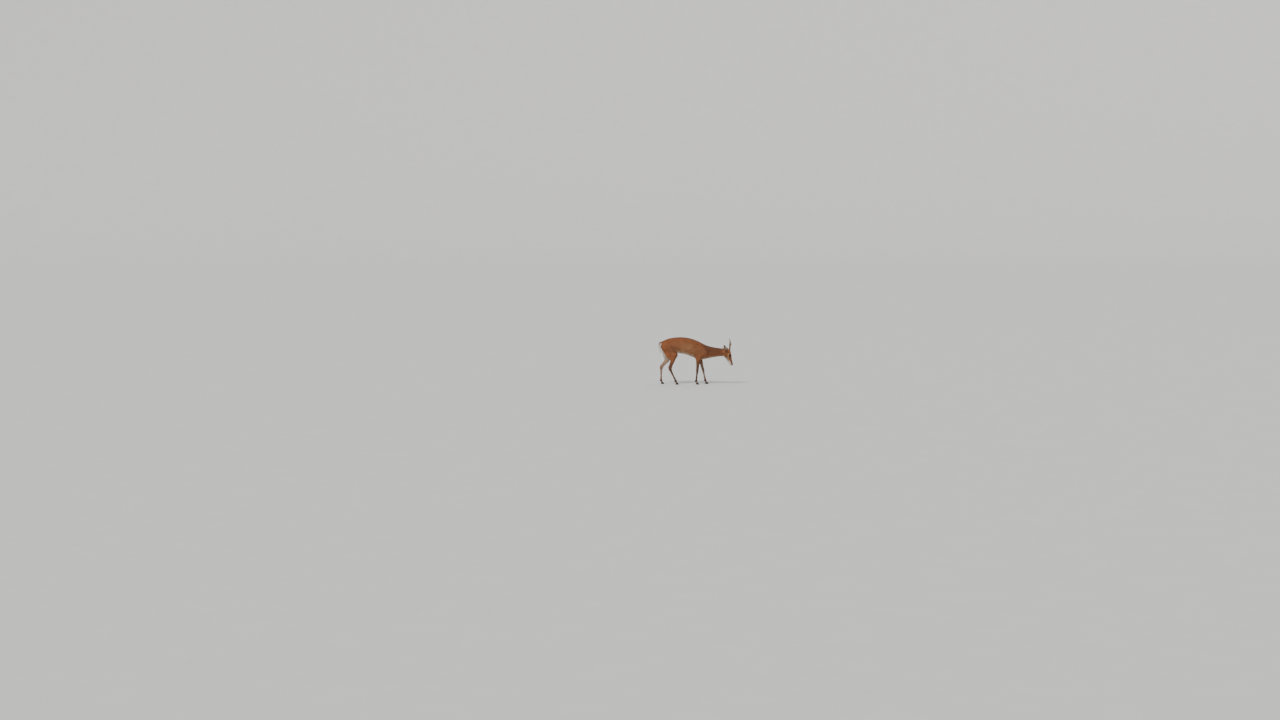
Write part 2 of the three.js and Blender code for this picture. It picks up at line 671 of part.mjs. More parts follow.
// The cup of an ear: crescent slices along a slightly curved axis, rolled up at the root
const EAR = { at: 20, up: 4, out: 34, length: 96, thick: 2.6, sunk: 6, columns: 8 };
const EAR_SLICES = [
  { t: 0, radius: 12, roll: 150 },
  { t: 0.14, radius: 14.5, roll: 128 },
  { t: 0.3, radius: 20, roll: 98 },
  { t: 0.46, radius: 24.5, roll: 80 },
  { t: 0.62, radius: 26, roll: 68 },
  { t: 0.78, radius: 25, roll: 55 },
  { t: 0.9, radius: 22, roll: 38 },
  { t: 1, radius: 16, roll: 12 },
];
function makeEar(side) {
  const aim = new THREE.Vector3(-0.66, 0.74 * side, -0.06).normalize();
  const mouth = new THREE.Vector3(0.3, 0.35 * side, 0.88).projectOnPlane(aim).normalize();
  const edge = new THREE.Vector3().crossVectors(aim, mouth);
  const rings = EAR_SLICES.map(({ t, radius, roll }) => {
    const centre = new THREE.Vector3(EAR.at, EAR.out * side, EAR.up)
      .addScaledVector(aim, EAR.length * t - EAR.sunk)
      .addScaledVector(mouth, 10 * t * t - 4 * t);
    const rim = (shell, turn) => centre.clone()
      .addScaledVector(mouth, -shell * Math.cos(turn))
      .addScaledVector(edge, shell * Math.sin(turn));
    const half = degToRad(roll);
    const turns = Array.from({ length: EAR.columns }, (_, i) => lerp(-half, half, i / (EAR.columns - 1)));
    const outer = turns.map((turn) => rim(radius, turn));
    const inner = turns.map((turn) => rim(radius - EAR.thick, -turn * 0.97));
    return [...outer, ...inner];
  });
  return loft(rings);
}

// Places on an antler are [along it from the pedicle, back, outwards]
const BEAM = {
  places: [[GAP, 0, 0], [10, 0, 0], [38, 1, 5], [68, 6, 7], [86, 14, 1]],
  radii: [11.2, 12.4, 9.4, 8.2, 7.6, 7, 6.2, 5.2, 4.1, 2.8, 1],
};
const BROW_TINE = {
  places: [[13, -2, 0], [23, -11, -2], [37, -16, -2]],
  radii: [4.8, 4.2, 3.4, 2.3, 0.8],
};

// A short antler: burr, curved beam that hooks in at its tip, and a brow tine near its base
function makeAntler(side, spare) {
  const place = (reach, back, apart) => {
    const [at, up, out] = pedicleAt(PEDICLE.length + reach, side);
    return new THREE.Vector3(at - back, out + apart * side, up - back * 0.9);
  };
  const beam = rod(BEAM.places.map((p) => place(...p)), BEAM.radii.map((r) => r + spare), 8);
  const tine = rod(BROW_TINE.places.map((p) => place(...p)), BROW_TINE.radii, 7);
  return { beam, tine };
}

// An upper canine that comes out under the lip and curves back
const TUSK = {
  places: [[184, 15, -10], [186, 20, -19], [184, 22.5, -28], [180, 22.5, -35]],
  radii: [3.6, 3.4, 2.8, 1.9, 0.8],
};
function makeTusk(side, headGrown) {
  const points = TUSK.places.map(([at, out, up]) => new THREE.Vector3(at, out * side, up));
  return rod(points, TUSK.radii, 6).subtract(headGrown);
}

const headGrown = skull(GAP);
for (const [name, side] of Object.entries(SIDES)) {
  piece(`eye_${name}`, eyeball(side, 0), 'eye');
  piece(`ear_${name}`, makeEar(side).subtract(headGrown), 'dusky');
  const antler = makeAntler(side, 0);
  piece(`antler_${name}_beam`, antler.beam, 'antler');
  piece(`antler_${name}_brow_tine`, antler.tine.subtract(makeAntler(side, GAP).beam), 'antler');
  piece(`tusk_${name}`, makeTusk(side, headGrown), 'ivory');
}

// Pedicles end square under the burrs
const pedicleTops = Object.values(SIDES).map((side) => {
  const [at, up, out] = pedicleAt(PEDICLE.length, side);
  const turn = new THREE.Quaternion().setFromUnitVectors(
    new THREE.Vector3(0, 0, 1),
    pedicleAim.clone().setY(pedicleAim.y * side),
  );
  const block = new THREE.BoxGeometry(60, 34, 60).translate(0, 0, 30).applyQuaternion(turn);
  return solidOf(block.translate(at, out, up));
});
pieces.get('head').solid = largest(pedicleTops.reduce((sum, top) => sum.subtract(top), pieces.get('head').solid));

// Steady random values between 0 and 1 from a seed
function seededRandom(seed) {
  let state = seed;
  return () => {
    state = (Math.imul(state, 1664525) + 1013904223) >>> 0;
    return state / 2 ** 32;
  };
}

// A place on the tail: a share of its length, and a turn round it from the outer side
const tailCurve = new THREE.CatmullRomCurve3(TAIL.map(({ x, z }) => new THREE.Vector3(x, 0, z)));
function tailPlace(share, turn, depth) {
  const stations = TAIL.map((row, i) => ({ ...row, at: i / (TAIL.length - 1) }));
  const centre = tailCurve.getPoint(share);
  const aim = tailCurve.getTangent(share);
  const outward = new THREE.Vector3(aim.z, 0, -aim.x)
    .multiplyScalar(Math.cos(turn))
    .add(new THREE.Vector3(0, Math.sin(turn), 0));
  const across = along(stations, share, 'wide') * Math.sin(turn);
  const deep = along(stations, share, 'thick') * Math.cos(turn);
  const point = centre.clone()
    .add(new THREE.Vector3(0, across * depth, 0))
    .addScaledVector(new THREE.Vector3(aim.z, 0, -aim.x), deep * depth);
  return { point, aim, outward };
}

// A flat lock that leaves the tail, bends down along it and tapers to its tip
function tailLock(share, turn, random) {
  const { point, aim, outward } = tailPlace(share, turn, 0.45);
  const length = FRINGE.length * lerp(0.8, 1.15, random());
  const spread = lerp(0.5, 0.75, random()) * lerp(1, 0.35, share) * lerp(1, 0.4, Math.max(Math.cos(turn), 0));
  const sway = lerp(-0.12, 0.12, random());
  const side = new THREE.Vector3().crossVectors(aim, outward).normalize();
  const stations = [
    { reach: 0, wide: 0.75, thick: 1 },
    { reach: 0.35, wide: 1, thick: 0.9 },
    { reach: 0.7, wide: 0.72, thick: 0.6 },
    { reach: 1, wide: 0.12, thick: 0.2 },
  ];
  return loft(stations.map(({ reach, wide, thick }) => {
    const centre = point.clone()
      .addScaledVector(aim, length * reach)
      .addScaledVector(outward, length * spread * reach * (1 - 0.45 * reach))
      .addScaledVector(side, length * sway * reach * reach);
    const [w, t] = [(FRINGE.wide / 2) * wide, (FRINGE.thick / 2) * thick];
    return [[w, 0], [0, t], [-w, 0]].map(([a, b]) => centre.clone()
      .addScaledVector(side, a)
      .addScaledVector(outward, b));
  }));
}

// The tail hangs close against the rump
function makeTail() {
  const random = seededRandom(7);
  const sides = 8;
  const steps = 6;
  const rings = Array.from({ length: steps + 1 }, (_, i) => Array.from(
    { length: sides },
    (__, s) => tailPlace(i / steps, (2 * Math.PI * s) / sides, 1).point,
  ));
  let tail = loft(rings);
  for (let row = 0; row < FRINGE.rows; row += 1) {
    for (const turn of FRINGE.turns) {
      const share = lerp(FRINGE.from, 0.97, (row + lerp(-0.3, 0.3, random())) / (FRINGE.rows - 1));
      tail = tail.add(tailLock(clamp(share, 0, 0.99), degToRad(turn + lerp(-14, 14, random())), random));
    }
  }
  return tail;
}
const torsoGrown = meshField((x, y, z) => flesh(x, y, z) - GAP, ...TORSO_GRID);
piece('tail', makeTail().subtract(torsoGrown), 'white');

// Head pieces sit in the head's own group, and the whole animal is centred over the origin
const HEAD_PIECES = /^(head|nose|eye|ear|antler|tusk)/;
const headGroup = new THREE.Group();
headGroup.position.set(POLL.x, 0, POLL.z);
headGroup.rotation.y = HEAD_DROP;
const body = new THREE.Group();
body.add(headGroup);

for (const [name, { solid, look }] of pieces) {
  const { vertProperties, triVerts } = solid.getMesh();
  const geometry = closedGeometry(Array.from(vertProperties), Array.from(triVerts));
  geometry.computeVertexNormals();
  const mesh = new THREE.Mesh(geometry, new THREE.MeshStandardMaterial(COLOURS[look]));
  mesh.name = name;
  (HEAD_PIECES.test(name) ? headGroup : body).add(mesh);
}

body.updateMatrixWorld(true);
const extent = new THREE.Box3().setFromObject(body, true);
body.position.set(-(extent.min.x + extent.max.x) / 2, -(extent.min.y + extent.max.y) / 2, 0);

const muntjac = new THREE.Group();
muntjac.add(body);

export default muntjac;
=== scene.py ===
"""The looks of a life-size Indian muntjac buck that feeds at a slow walk with its head lowered.

Lengths are millimetres in the animal's own frame: x to the head, y to its left and z up from the
ground. The head has a frame of its own: at runs from the poll to the nose, up towards the forehead
and out to the left. Points become metres in the row's frame only where a mesh is made.
"""

import math

import bmesh
import bpy
import numpy as np
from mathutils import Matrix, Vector


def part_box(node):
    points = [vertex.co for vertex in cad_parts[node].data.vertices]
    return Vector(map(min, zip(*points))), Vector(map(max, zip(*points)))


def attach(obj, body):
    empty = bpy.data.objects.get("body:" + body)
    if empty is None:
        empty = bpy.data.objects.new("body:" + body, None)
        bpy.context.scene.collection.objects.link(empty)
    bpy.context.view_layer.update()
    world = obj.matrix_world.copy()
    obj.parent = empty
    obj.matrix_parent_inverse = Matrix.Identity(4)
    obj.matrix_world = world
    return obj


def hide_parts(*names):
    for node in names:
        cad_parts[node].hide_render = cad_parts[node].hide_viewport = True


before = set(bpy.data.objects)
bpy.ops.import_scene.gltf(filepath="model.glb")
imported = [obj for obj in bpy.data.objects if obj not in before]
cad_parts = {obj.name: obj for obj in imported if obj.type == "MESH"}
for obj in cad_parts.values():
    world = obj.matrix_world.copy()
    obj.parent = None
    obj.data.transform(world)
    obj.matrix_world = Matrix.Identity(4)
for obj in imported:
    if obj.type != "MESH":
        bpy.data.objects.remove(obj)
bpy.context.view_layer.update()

SIDES = {"left": 1, "right": -1}

# The trunk and neck as upright slices: place, top line, underline and half the width
TRUNK = np.array([
    (-250, 541, 414, 46),
    (-205, 560, 400, 68),
    (-140, 575, 391, 84),
    (-60, 582, 381, 91),
    (20, 578, 366, 101),
    (100, 561, 337, 102),
    (165, 537, 310, 90),
    (215, 512, 304, 74),
    (265, 487, 311, 64),
    (320, 468, 324, 56),
    (390, 454, 335, 50),
    (450, 445, 344, 46),
    (500, 437, 352, 40),
], float)
TRUNK_CAPS = (36, 16)
TRUNK_EGG = -0.14

# The head as slices along its own axis, in the same columns
POLL = np.array([519.0, 0, 437])
HEAD_DROP = math.radians(70)
HEAD = np.array([
    (4, 24, -58, 32),
    (30, 33, -68, 40),
    (60, 36, -67, 42),
    (88, 33, -59, 41),
    (110, 28.5, -50, 36.5),
    (135, 23.5, -42, 29.5),
    (163, 19.5, -36, 24.5),
    (190, 17, -32, 22),
    (204, 13.5, -28.5, 20.5),
], float)
HEAD_CAPS = (18, 13)
HEAD_EGG = 0.16
# Cheek, cheekbone and side of the nose: at, out, up, their radii and the blend
HEAD_MASSES = [
    (62, 25, -34, (34, 17, 25), 14),
    (84, 33, -6, (36, 9, 11), 12),
    (198, 10, -2, (17, 11, 14), 8),
]
EYE_AT, EYE_UP, EYE_OUT = 86, 10, 30
EYE_RADIUS = 14
SOCKET_RADIUS = EYE_RADIUS - 3
LID = 2.2
LID_ALONG, LID_ACROSS = 1.15, 0.78
PEDICLE = np.array([46.0, 27, 17])
PEDICLE_AIM = np.array([-0.9, 0.4, 0.2]) / math.sqrt(0.9 ** 2 + 0.4 ** 2 + 0.2 ** 2)
PEDICLE_RADIUS, PEDICLE_LENGTH = 9.6, 78
NOSE_PAD_AT = 204
MOUTH_CORNER, MOUTH_FRONT, MOUTH_LINE, MOUTH_DIP = 160, 230, -15, 0.6

# Leg joints in side view as x and z, and how far out each one stands
STANCE = {
    "front_right": dict(shoulder=(250, 398), elbow=(173, 325), knee=(163, 172), fetlock=(149, 47), toe=163),
    "front_left": dict(shoulder=(258, 400), elbow=(196, 322), knee=(236, 174), fetlock=(263, 49), toe=279),
    "hind_right": dict(hip=(-212, 474), stifle=(-117, 366), hock=(-170, 186), fetlock=(-103, 46), toe=-88),
    "hind_left": dict(hip=(-214, 474), stifle=(-164, 348), hock=(-280, 196), fetlock=(-281, 46), toe=-266),
}
FRONT_OUT = dict(shoulder=52, elbow=60, knee=51, fetlock=47)
HIND_OUT = dict(hip=39, stifle=58, hock=54, fetlock=51)
CORONET_BACK, CORONET_HEIGHT = 6, 24
LEG_SIDE = {name: SIDES[name.split("_")[1]] for name in STANCE}

# How widely the forms run into each other
BLEND = dict(body=26, muscles=16, muscle_joints=8, leg_joints=10, eyeball=8, ridges=9, ridge_joints=6, lips=4)
NEARBY = 34

# A plane through the throat, where the head ends and the neck begins
THROAT = np.array([478.0, 0, 395])
THROAT_NORMAL = np.array([0.914, 0, -0.406])

# Depth of the coat over the skin
BODY_COAT, LEG_COAT, CHEEK_COAT, FACE_COAT, NOSE_COAT = 4.4, 1.7, 2.2, 1.2, 0.3

SKIN_BOX = ((-345, -120, -12), (625, 120, 600))
SKIN_CELL = 4.8


def smooth(value, start, end):
    t = np.clip((value - start) / (end - start), 0, 1)
    return t * t * (3 - 2 * t)


def mix(a, b, share):
    return a + (b - a) * share


def bell(value, middle, width):
    """1 at the middle, fading out on both sides"""
    return np.exp(-((value - middle) / width) ** 2)


def unit(v):
    return v / np.maximum(np.linalg.norm(v, axis=-1, keepdims=True), 1e-9)


def dot(a, b):
    return (a * b).sum(-1)


def around(turn, first, second):
    """Directions at angles from a first axis towards a second"""
    return np.cos(turn)[..., None] * first + np.sin(turn)[..., None] * second


def turns(count):
    return np.linspace(0, 2 * math.pi, count, endpoint=False)


def join(a, b, blend):
    """Joins two distances with a fillet about as wide as the blend"""
    h = np.maximum(blend - np.abs(a - b), 0) / blend
    return np.minimum(a, b) - h * h * blend / 4


def along(stations, at, column):
    """A value that runs smoothly through the stations"""
    x, y = stations[:, 0], stations[:, column]
    place = np.clip(at, x[0], x[-1])
    i = np.searchsorted(x[1:-1], place)
    before = np.maximum(np.arange(len(x)) - 1, 0)
    after = np.minimum(np.arange(len(x)) + 1, len(x) - 1)
    slope = (y[after] - y[before]) / (x[after] - x[before])
    span = x[i + 1] - x[i]
    t = (place - x[i]) / span
    bend = slope[i] * span * t * (1 - t) ** 2 - slope[i + 1] * span * t * t * (1 - t)
    return mix(y[i], y[i + 1], t * t * (3 - 2 * t)) + bend


def ellipsoid(dx, dy, dz, rx, ry, rz):
    reach = np.sqrt((dx / rx) ** 2 + (dy / ry) ** 2 + (dz / rz) ** 2)
    steep = np.sqrt((dx / rx ** 2) ** 2 + (dy / ry ** 2) ** 2 + (dz / rz ** 2) ** 2)
    return reach * (reach - 1) / np.maximum(steep, 1e-6)


def sliced(stations, at, across, up, egg, caps):
    """Distance to a tube of egg-shaped slices, closed by half ellipsoids"""
    place = np.clip(at, stations[0, 0], stations[-1, 0])
    top, bottom = along(stations, place, 1), along(stations, place, 2)
    tall = (top - bottom) / 2
    lift = up - (top + bottom) / 2
    wide = along(stations, place, 3) * (1 + egg * np.clip(lift / tall, -1, 1))
    return ellipsoid(at - place, across, lift, np.where(at < place, *caps), wide, tall)


def limb(joints, p, blend):
    """Distance to a limb through joints of x, y, z, radius and width as a share of depth"""
    nearest = None
    for a, b in zip(joints, joints[1:]):
        way = np.subtract(b[:3], a[:3])
        t = np.clip((p - a[:3]) @ way / (way @ way), 0, 1)
        off = p - a[:3] - t[:, None] * way
        aside = off[:, 1] / mix(a[4], b[4], t)
        away = np.sqrt(off[:, 0] ** 2 + aside ** 2 + off[:, 2] ** 2) - mix(a[3], b[3], t)
        nearest = away if nearest is None else join(nearest, away, blend)
    return nearest


def leg_points(pose, side):
    """A leg's joints as points, from the top down to its coronet"""
    outs = FRONT_OUT if "knee" in pose else HIND_OUT
    joints = [np.array([pose[k][0], side * out, pose[k][1]], float) for k, out in outs.items()]
    return [*joints, np.array([pose["toe"] - CORONET_BACK, joints[-1][1], CORONET_HEIGHT])]


def out_as(point, other):
    """A point brought as far out to the side as another"""
    return np.array([point[0], other[1], point[2]])


def fore_masses(points, side):
    """Foreleg down to its coronet, shoulder blade and triceps"""
    shoulder, elbow, knee, fetlock, coronet = points
    leg = [
        (*shoulder, 40, 0.6),
        (*elbow, 33, 0.62),
        (*mix(elbow, knee, 0.4), 21, 0.76),
        (*knee, 15, 0.92),
        (*out_as(mix(knee, fetlock, 0.2), knee), 11.5, 0.95),
        (*out_as(mix(knee, fetlock, 0.7), fetlock), 9.6, 0.95),
        (*fetlock, 12.6, 0.95),
        (*coronet, 12.4, 1.08),
    ]
    blade = [
        (shoulder[0] - 48, 36 * side, shoulder[2] + 80, 27, 0.6),
        (*(shoulder - (0, 2 * side, 0)), 44, 0.58),
    ]
    triceps = [
        (shoulder[0] - 62, 50 * side, shoulder[2] + 42, 44, 0.5),
        (*(elbow + (-10, 0, 16)), 27, 0.62),
    ]
    return [leg, blade, triceps]


def hind_masses(points, side):
    """Hind leg down to its coronet, hamstring and heel tendon"""
    hip, stifle, hock, fetlock, coronet = points
    shank = (hock - fetlock) * (1, 0, 1)
    heel = hock + shank * (27 / np.hypot(shank[0], shank[2])) - (5, 0, 0)
    buttock = mix(hip, stifle, 0.72)
    calf = out_as(mix(stifle, hock, 0.34), mix(stifle, hock, 0.3))
    leg = [
        (*hip, 66, 0.6),
        (*stifle, 40, 0.64),
        (*mix(stifle, hock, 0.42), 24, 0.74),
        (*mix(stifle, hock, 0.8), 13.5, 0.86),
        (*hock, 16, 0.82),
        (*out_as(mix(hock, fetlock, 0.3), fetlock), 11.6, 0.9),
        (*out_as(mix(hock, fetlock, 0.75), fetlock), 10, 0.95),
        (*fetlock, 13, 0.95),
        (*coronet, 12.4, 1.08),
    ]
    hamstring = [
        (-250, 31 * side, 460, 31, 0.74),
        (buttock[0] - 44, 50 * side, buttock[2] - 34, 34, 0.66),
        (*(calf + (-17, 0, 3)), 17, 0.75),
    ]
    tendon = [
        (*(mix(stifle, hock, 0.4) - (17, 0, 0)), 11, 0.7),
        (*heel, 8.5, 0.85),
        (*hock, 12.5, 0.85),
    ]
    return [leg, hamstring, tendon]


LEG_POINTS = {name: leg_points(pose, LEG_SIDE[name]) for name, pose in STANCE.items()}
LIMBS = {
    name: (fore_masses if "knee" in STANCE[name] else hind_masses)(points, LEG_SIDE[name])
    for name, points in LEG_POINTS.items()
}

HEAD_AXIS = np.array([math.cos(HEAD_DROP), 0, -math.sin(HEAD_DROP)])
HEAD_TOP = np.array([math.sin(HEAD_DROP), 0, math.cos(HEAD_DROP)])
HEAD_OUT = np.array([0.0, 1, 0])


def head_way(at, up, out):
    """A direction given in the head's frame"""
    return at * HEAD_AXIS + up * HEAD_TOP + out * HEAD_OUT


def head_point(at, up, out):
    """Places in the head's frame as points of the animal's frame"""
    parts = [part[..., None] for part in np.broadcast_arrays(at, up, out)]
    return POLL + head_way(*parts)


def in_head(p):
    q = p - POLL
    return q @ HEAD_AXIS, q @ HEAD_TOP, q @ HEAD_OUT


def head_joint(at, up, out, r):
    return (*head_point(at, up, out), r, 1)


def pedicle_at(reach, side):
    return (PEDICLE + PEDICLE_AIM * reach) * (1, 1, side)


RIDGES = [
    [
        head_joint(132, 18, 9 * side, 4.5),
        head_joint(98, 26, 15 * side, 7),
        head_joint(62, 30, 18 * side, 9),
        head_joint(*pedicle_at(0, side), PEDICLE_RADIUS + 1),
        head_joint(*pedicle_at(PEDICLE_LENGTH + 20, side), PEDICLE_RADIUS - 1.5),
    ]
    for side in SIDES.values()
]
LIPS = [
    [head_joint(at, up, out * side, r) for at, up, out, r in lip]
    for side in SIDES.values()
    for lip in (
        [(162, -9.5, 19, 4.5), (188, -8.5, 17.3, 6.4), (207, -7, 12, 6)],
        [(166, -22, 14.5, 4), (190, -21, 13.6, 5.2), (206, -20, 8.5, 4.8)],
    )
]


def from_eye(at, up, out):
    return np.sqrt((at - EYE_AT) ** 2 + (up - EYE_UP) ** 2 + (out - EYE_OUT) ** 2)


def head_field(p):
    at, up, y = in_head(p)
    out = np.abs(y)
    d = sliced(HEAD, at, y, up, HEAD_EGG, HEAD_CAPS)
    for mass_at, mass_out, mass_up, radii, blend in HEAD_MASSES:
        d = join(d, ellipsoid(at - mass_at, out - mass_out, up - mass_up, *radii), blend)
    d = join(d, from_eye(at, up, out) - EYE_RADIUS - LID, BLEND["eyeball"])
    for ridge in RIDGES:
        d = join(d, limb(ridge, p, BLEND["ridge_joints"]), BLEND["ridges"])
    for lip in LIPS:
        d = join(d, limb(lip, p, BLEND["lips"]), BLEND["lips"])
    return d


def near(p, joints):
    """Whether each point is close enough to some joints for them to matter"""
    rows = np.array(joints)
    low = (rows[:, :3] - rows[:, 3:4]).min(0) - NEARBY
    high = (rows[:, :3] + rows[:, 3:4]).max(0) + NEARBY
    return ((p > low) & (p < high)).all(1)


# Balls that take in the whole head with its antlers' stalks
HEAD_REACH = [(*POLL, 130, 1), (*head_point(215, 0, 0), 70, 1), (*head_point(-60, 80, 0), 50, 1)]


def flesh(p):
    """Distance to the outside of the coat over the whole animal, apart from ears, tail and hooves"""
    d = sliced(TRUNK, p[:, 0], p[:, 1], p[:, 2], TRUNK_EGG, TRUNK_CAPS)
    for masses in LIMBS.values():
        close = near(p, [j for chain in masses for j in chain])
        q = p[close]
        if not len(q):
            continue
        leg = limb(masses[0], q, BLEND["leg_joints"])
        for muscle in masses[1:]:
            leg = join(leg, limb(muscle, q, BLEND["muscle_joints"]), BLEND["muscles"])
        d[close] = join(d[close], leg, BLEND["body"])
    close = near(p, HEAD_REACH)
    if close.any():
        d[close] = join(d[close], head_field(p[close]), BLEND["body"])
    return d


def head_share(p):
    """0 on the body and 1 on the head"""
    return smooth((p - THROAT) @ THROAT_NORMAL, -45, 15) * (p[:, 2] > 200)


def coat_depth(p):
    at = in_head(p)[0]
    face = mix(CHEEK_COAT, FACE_COAT, smooth(at, 90, 160))
    face = mix(face, NOSE_COAT, smooth(at, NOSE_PAD_AT - 8, NOSE_PAD_AT + 2))
    body = mix(BODY_COAT, LEG_COAT, smooth(p[:, 2], 330, 170))
    return mix(body, face, head_share(p))


def skin_field(p):
    return flesh(p) + coat_depth(p)


def slope(field, p, step=0.5):
    sides = np.eye(3) * step
    return np.stack([(field(p + s) - field(p - s)) / (2 * step) for s in sides], 1)


def settle(field, p, most, rounds):
    """Moves points onto the surface where a field is zero"""
    for _ in range(rounds):
        steep = slope(field, p)
        move = np.clip(field(p) / np.maximum(dot(steep, steep), 0.1), -most, most)
        p = p - steep * move[:, None]
    return p


def surface_net(field, low, high, cell):
    """Points and quads of the surface where a field is zero, with a point in each cell that it crosses"""
    axes = [np.arange(a, b + cell, cell) for a, b in zip(low, high)]
    shape = tuple(len(a) for a in axes)
    slabs = [
        field(np.stack(np.meshgrid(xs, axes[1], axes[2], indexing="ij"), -1).reshape(-1, 3))
        for xs in np.array_split(axes[0], len(axes[0]) // 8)
    ]
    values = np.concatenate(slabs).reshape(shape)
    cells = tuple(n - 1 for n in shape)
    owners, crossings, quads = [], [], []
    for axis in range(3):
        a, b = (np.take(values, np.arange(k, shape[axis] - 1 + k), axis) for k in (0, 1))
        start = np.argwhere((a < 0) != (b < 0))
        first, second = a[tuple(start.T)], b[tuple(start.T)]
        point = start.astype(float)
        point[:, axis] += first / (first - second)
        one, other = np.roll(np.eye(3, dtype=int), axis, 1)[1:]
        around_edge = [start, start - one, start - one - other, start - other]
        ring = [np.ravel_multi_index(owner.T, cells) for owner in around_edge]
        owners += ring
        crossings += [point] * 4
        ring = np.stack(ring, 1)
        quads.append(np.where((first < 0)[:, None], ring, ring[:, ::-1]))
    used, order, count = np.unique(np.concatenate(owners), return_inverse=True, return_counts=True)
    total = np.stack([np.bincount(order, c) for c in np.concatenate(crossings).T], 1)
    return np.array(low) + cell * total / count[:, None], np.searchsorted(used, np.concatenate(quads))


# The shift from the animal's frame to the row's frame, read off the left eye
eye_low, eye_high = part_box("eye_left")
SHIFT = 1000 * np.array((eye_low + eye_high) / 2) - head_point(EYE_AT, EYE_UP, EYE_OUT)


def metres(p):
    return (np.asarray(p, float) + SHIFT) / 1000


def tone(red, green, blue):
    """A screen colour as linear light"""
    c = np.array([red, green, blue]) / 255
    return np.where(c <= 0.04045, c / 12.92, ((c + 0.055) / 1.055) ** 2.4)


CHESTNUT = tone(144, 88, 53)
RUSSET = tone(156, 90, 49)
SANDY = tone(162, 116, 78)
UMBER = tone(104, 67, 46)
DORSAL = tone(94, 58, 38)
BUFF = tone(206, 184, 154)
WHITE = tone(236, 229, 216)
SHANK = tone(92, 62, 45)
SHANK_FRONT = tone(44, 32, 27)
FACE = tone(160, 102, 63)
STRIPE = tone(30, 22, 18)
MUZZLE = tone(94, 67, 51)
EAR_BACK = tone(94, 67, 50)
EAR_LINING = tone(196, 164, 142)
LEATHER = tone(28, 25, 25)
# Painted shade inside the nostrils' openings
NOSTRIL_SHADE = tone(5, 4, 4)
IRIS, IRIS_EDGE, PUPIL, EYE_WHITE = tone(46, 27, 17), tone(22, 13, 10), tone(4, 4, 6), tone(60, 44, 36)
LID_MARGIN = tone(24, 18, 16)
ANTLER_BROWN, ANTLER_PALE = tone(96, 66, 42), tone(196, 170, 130)
TUSK_ROOT, TUSK_TIP = tone(214, 196, 158), tone(240, 232, 214)
HOOF_DARK, HOOF_PALE = tone(30, 26, 25), tone(64, 52, 45)
DEWCLAW_DARK = tone(40, 33, 30)


def wave(p, size, seed):
    """Smooth wandering values between about -1 and 1, from sums of tilted waves"""
    rng = np.random.default_rng(seed)
    total = np.zeros(len(p))
    for _ in range(5):
        way = unit(rng.normal(size=3)) * rng.uniform(0.7, 1.5) * 2 * math.pi / size
        total += np.sin(p @ way + rng.uniform(0, 6.28))
    return total / 2.6


def eye_centre(side):
    return head_point(EYE_AT, EYE_UP, EYE_OUT * side)


def eye_axes(side):
    """The way that an eye looks, the line between its corners and the way to its upper lid"""
    aim = unit(head_way(0.22, 0.16, 0.95 * side))
    line = head_way(0.97, -0.22, 0)
    line = unit(line - (line @ aim) * aim)
    return aim, line, np.cross(line, aim) * side


def in_lids(p, side):
    """How far out a point lies in the opening of the lids, where 1 is its edge"""
    aim, line, rise = eye_axes(side)
    q = p - eye_centre(side)
    depth = q @ aim
    ahead = np.maximum(depth, 0.1)
    reach = np.hypot(q @ line / ahead / LID_ALONG, q @ rise / ahead / LID_ACROSS)
    return np.where(depth > 0, reach, 9)


def by_eye(p, side, lids, reach):
    """Whether points lie within some share of the lids' opening and within reach of the eye's centre"""
    return (in_lids(p, side) < lids) & (np.linalg.norm(p - eye_centre(side), axis=1) < reach)


def mouth_line(at):
    t = np.clip((at - MOUTH_CORNER) / (MOUTH_FRONT - MOUTH_CORNER), 0, 1)
    return MOUTH_LINE - MOUTH_DIP * np.sin(math.pi * t)


def on_nose(at, up, out):
    """1 on the bare leather round the nostrils, which narrows down to the middle of the lip"""
    lower = mix(-14, -7, smooth(out, 2.5, 12))
    back = at + 0.2 * up + 1.5 * np.cos(out / 4.5)
    return smooth(back, NOSE_PAD_AT - 1.2, NOSE_PAD_AT + 0.4) * smooth(up, lower - 0.8, lower + 0.8)


def on_pedicle(at, up, low, front):
    """1 on the antlers' stalks, above a low line and behind a front line"""
    return smooth(up - 0.42 * (PEDICLE[0] - at), low, 34) * smooth(at, front, front - 14)


# The left nostril's slit, from the front of the nose round to its side, with the radius of its opening
NOSTRIL = [
    head_joint(217, -2, 6.5, 1),
    head_joint(216.3, -1.2, 10.5, 1.7),
    head_joint(214.6, 0.2, 15, 1.9),
    head_joint(211, 2.4, 18.4, 1.5),
    head_joint(207, 5.2, 19.6, 0.6),
]


def on_left(p):
    """Points with those of the right side mirrored over to the left"""
    x, y, z = p.T
    return np.stack([x, np.abs(y), z], 1)


def to_nostril(p):
    """Distance to the edge of the nearest nostril"""
    return limb(NOSTRIL, on_left(p), 1)


def painted(base, *layers):
    """A colour with others laid over it one by one, each with its share at every point"""
    coat = base
    for colour, share in layers:
        coat = mix(coat, colour, np.clip(share, 0, 1)[:, None])
    return coat


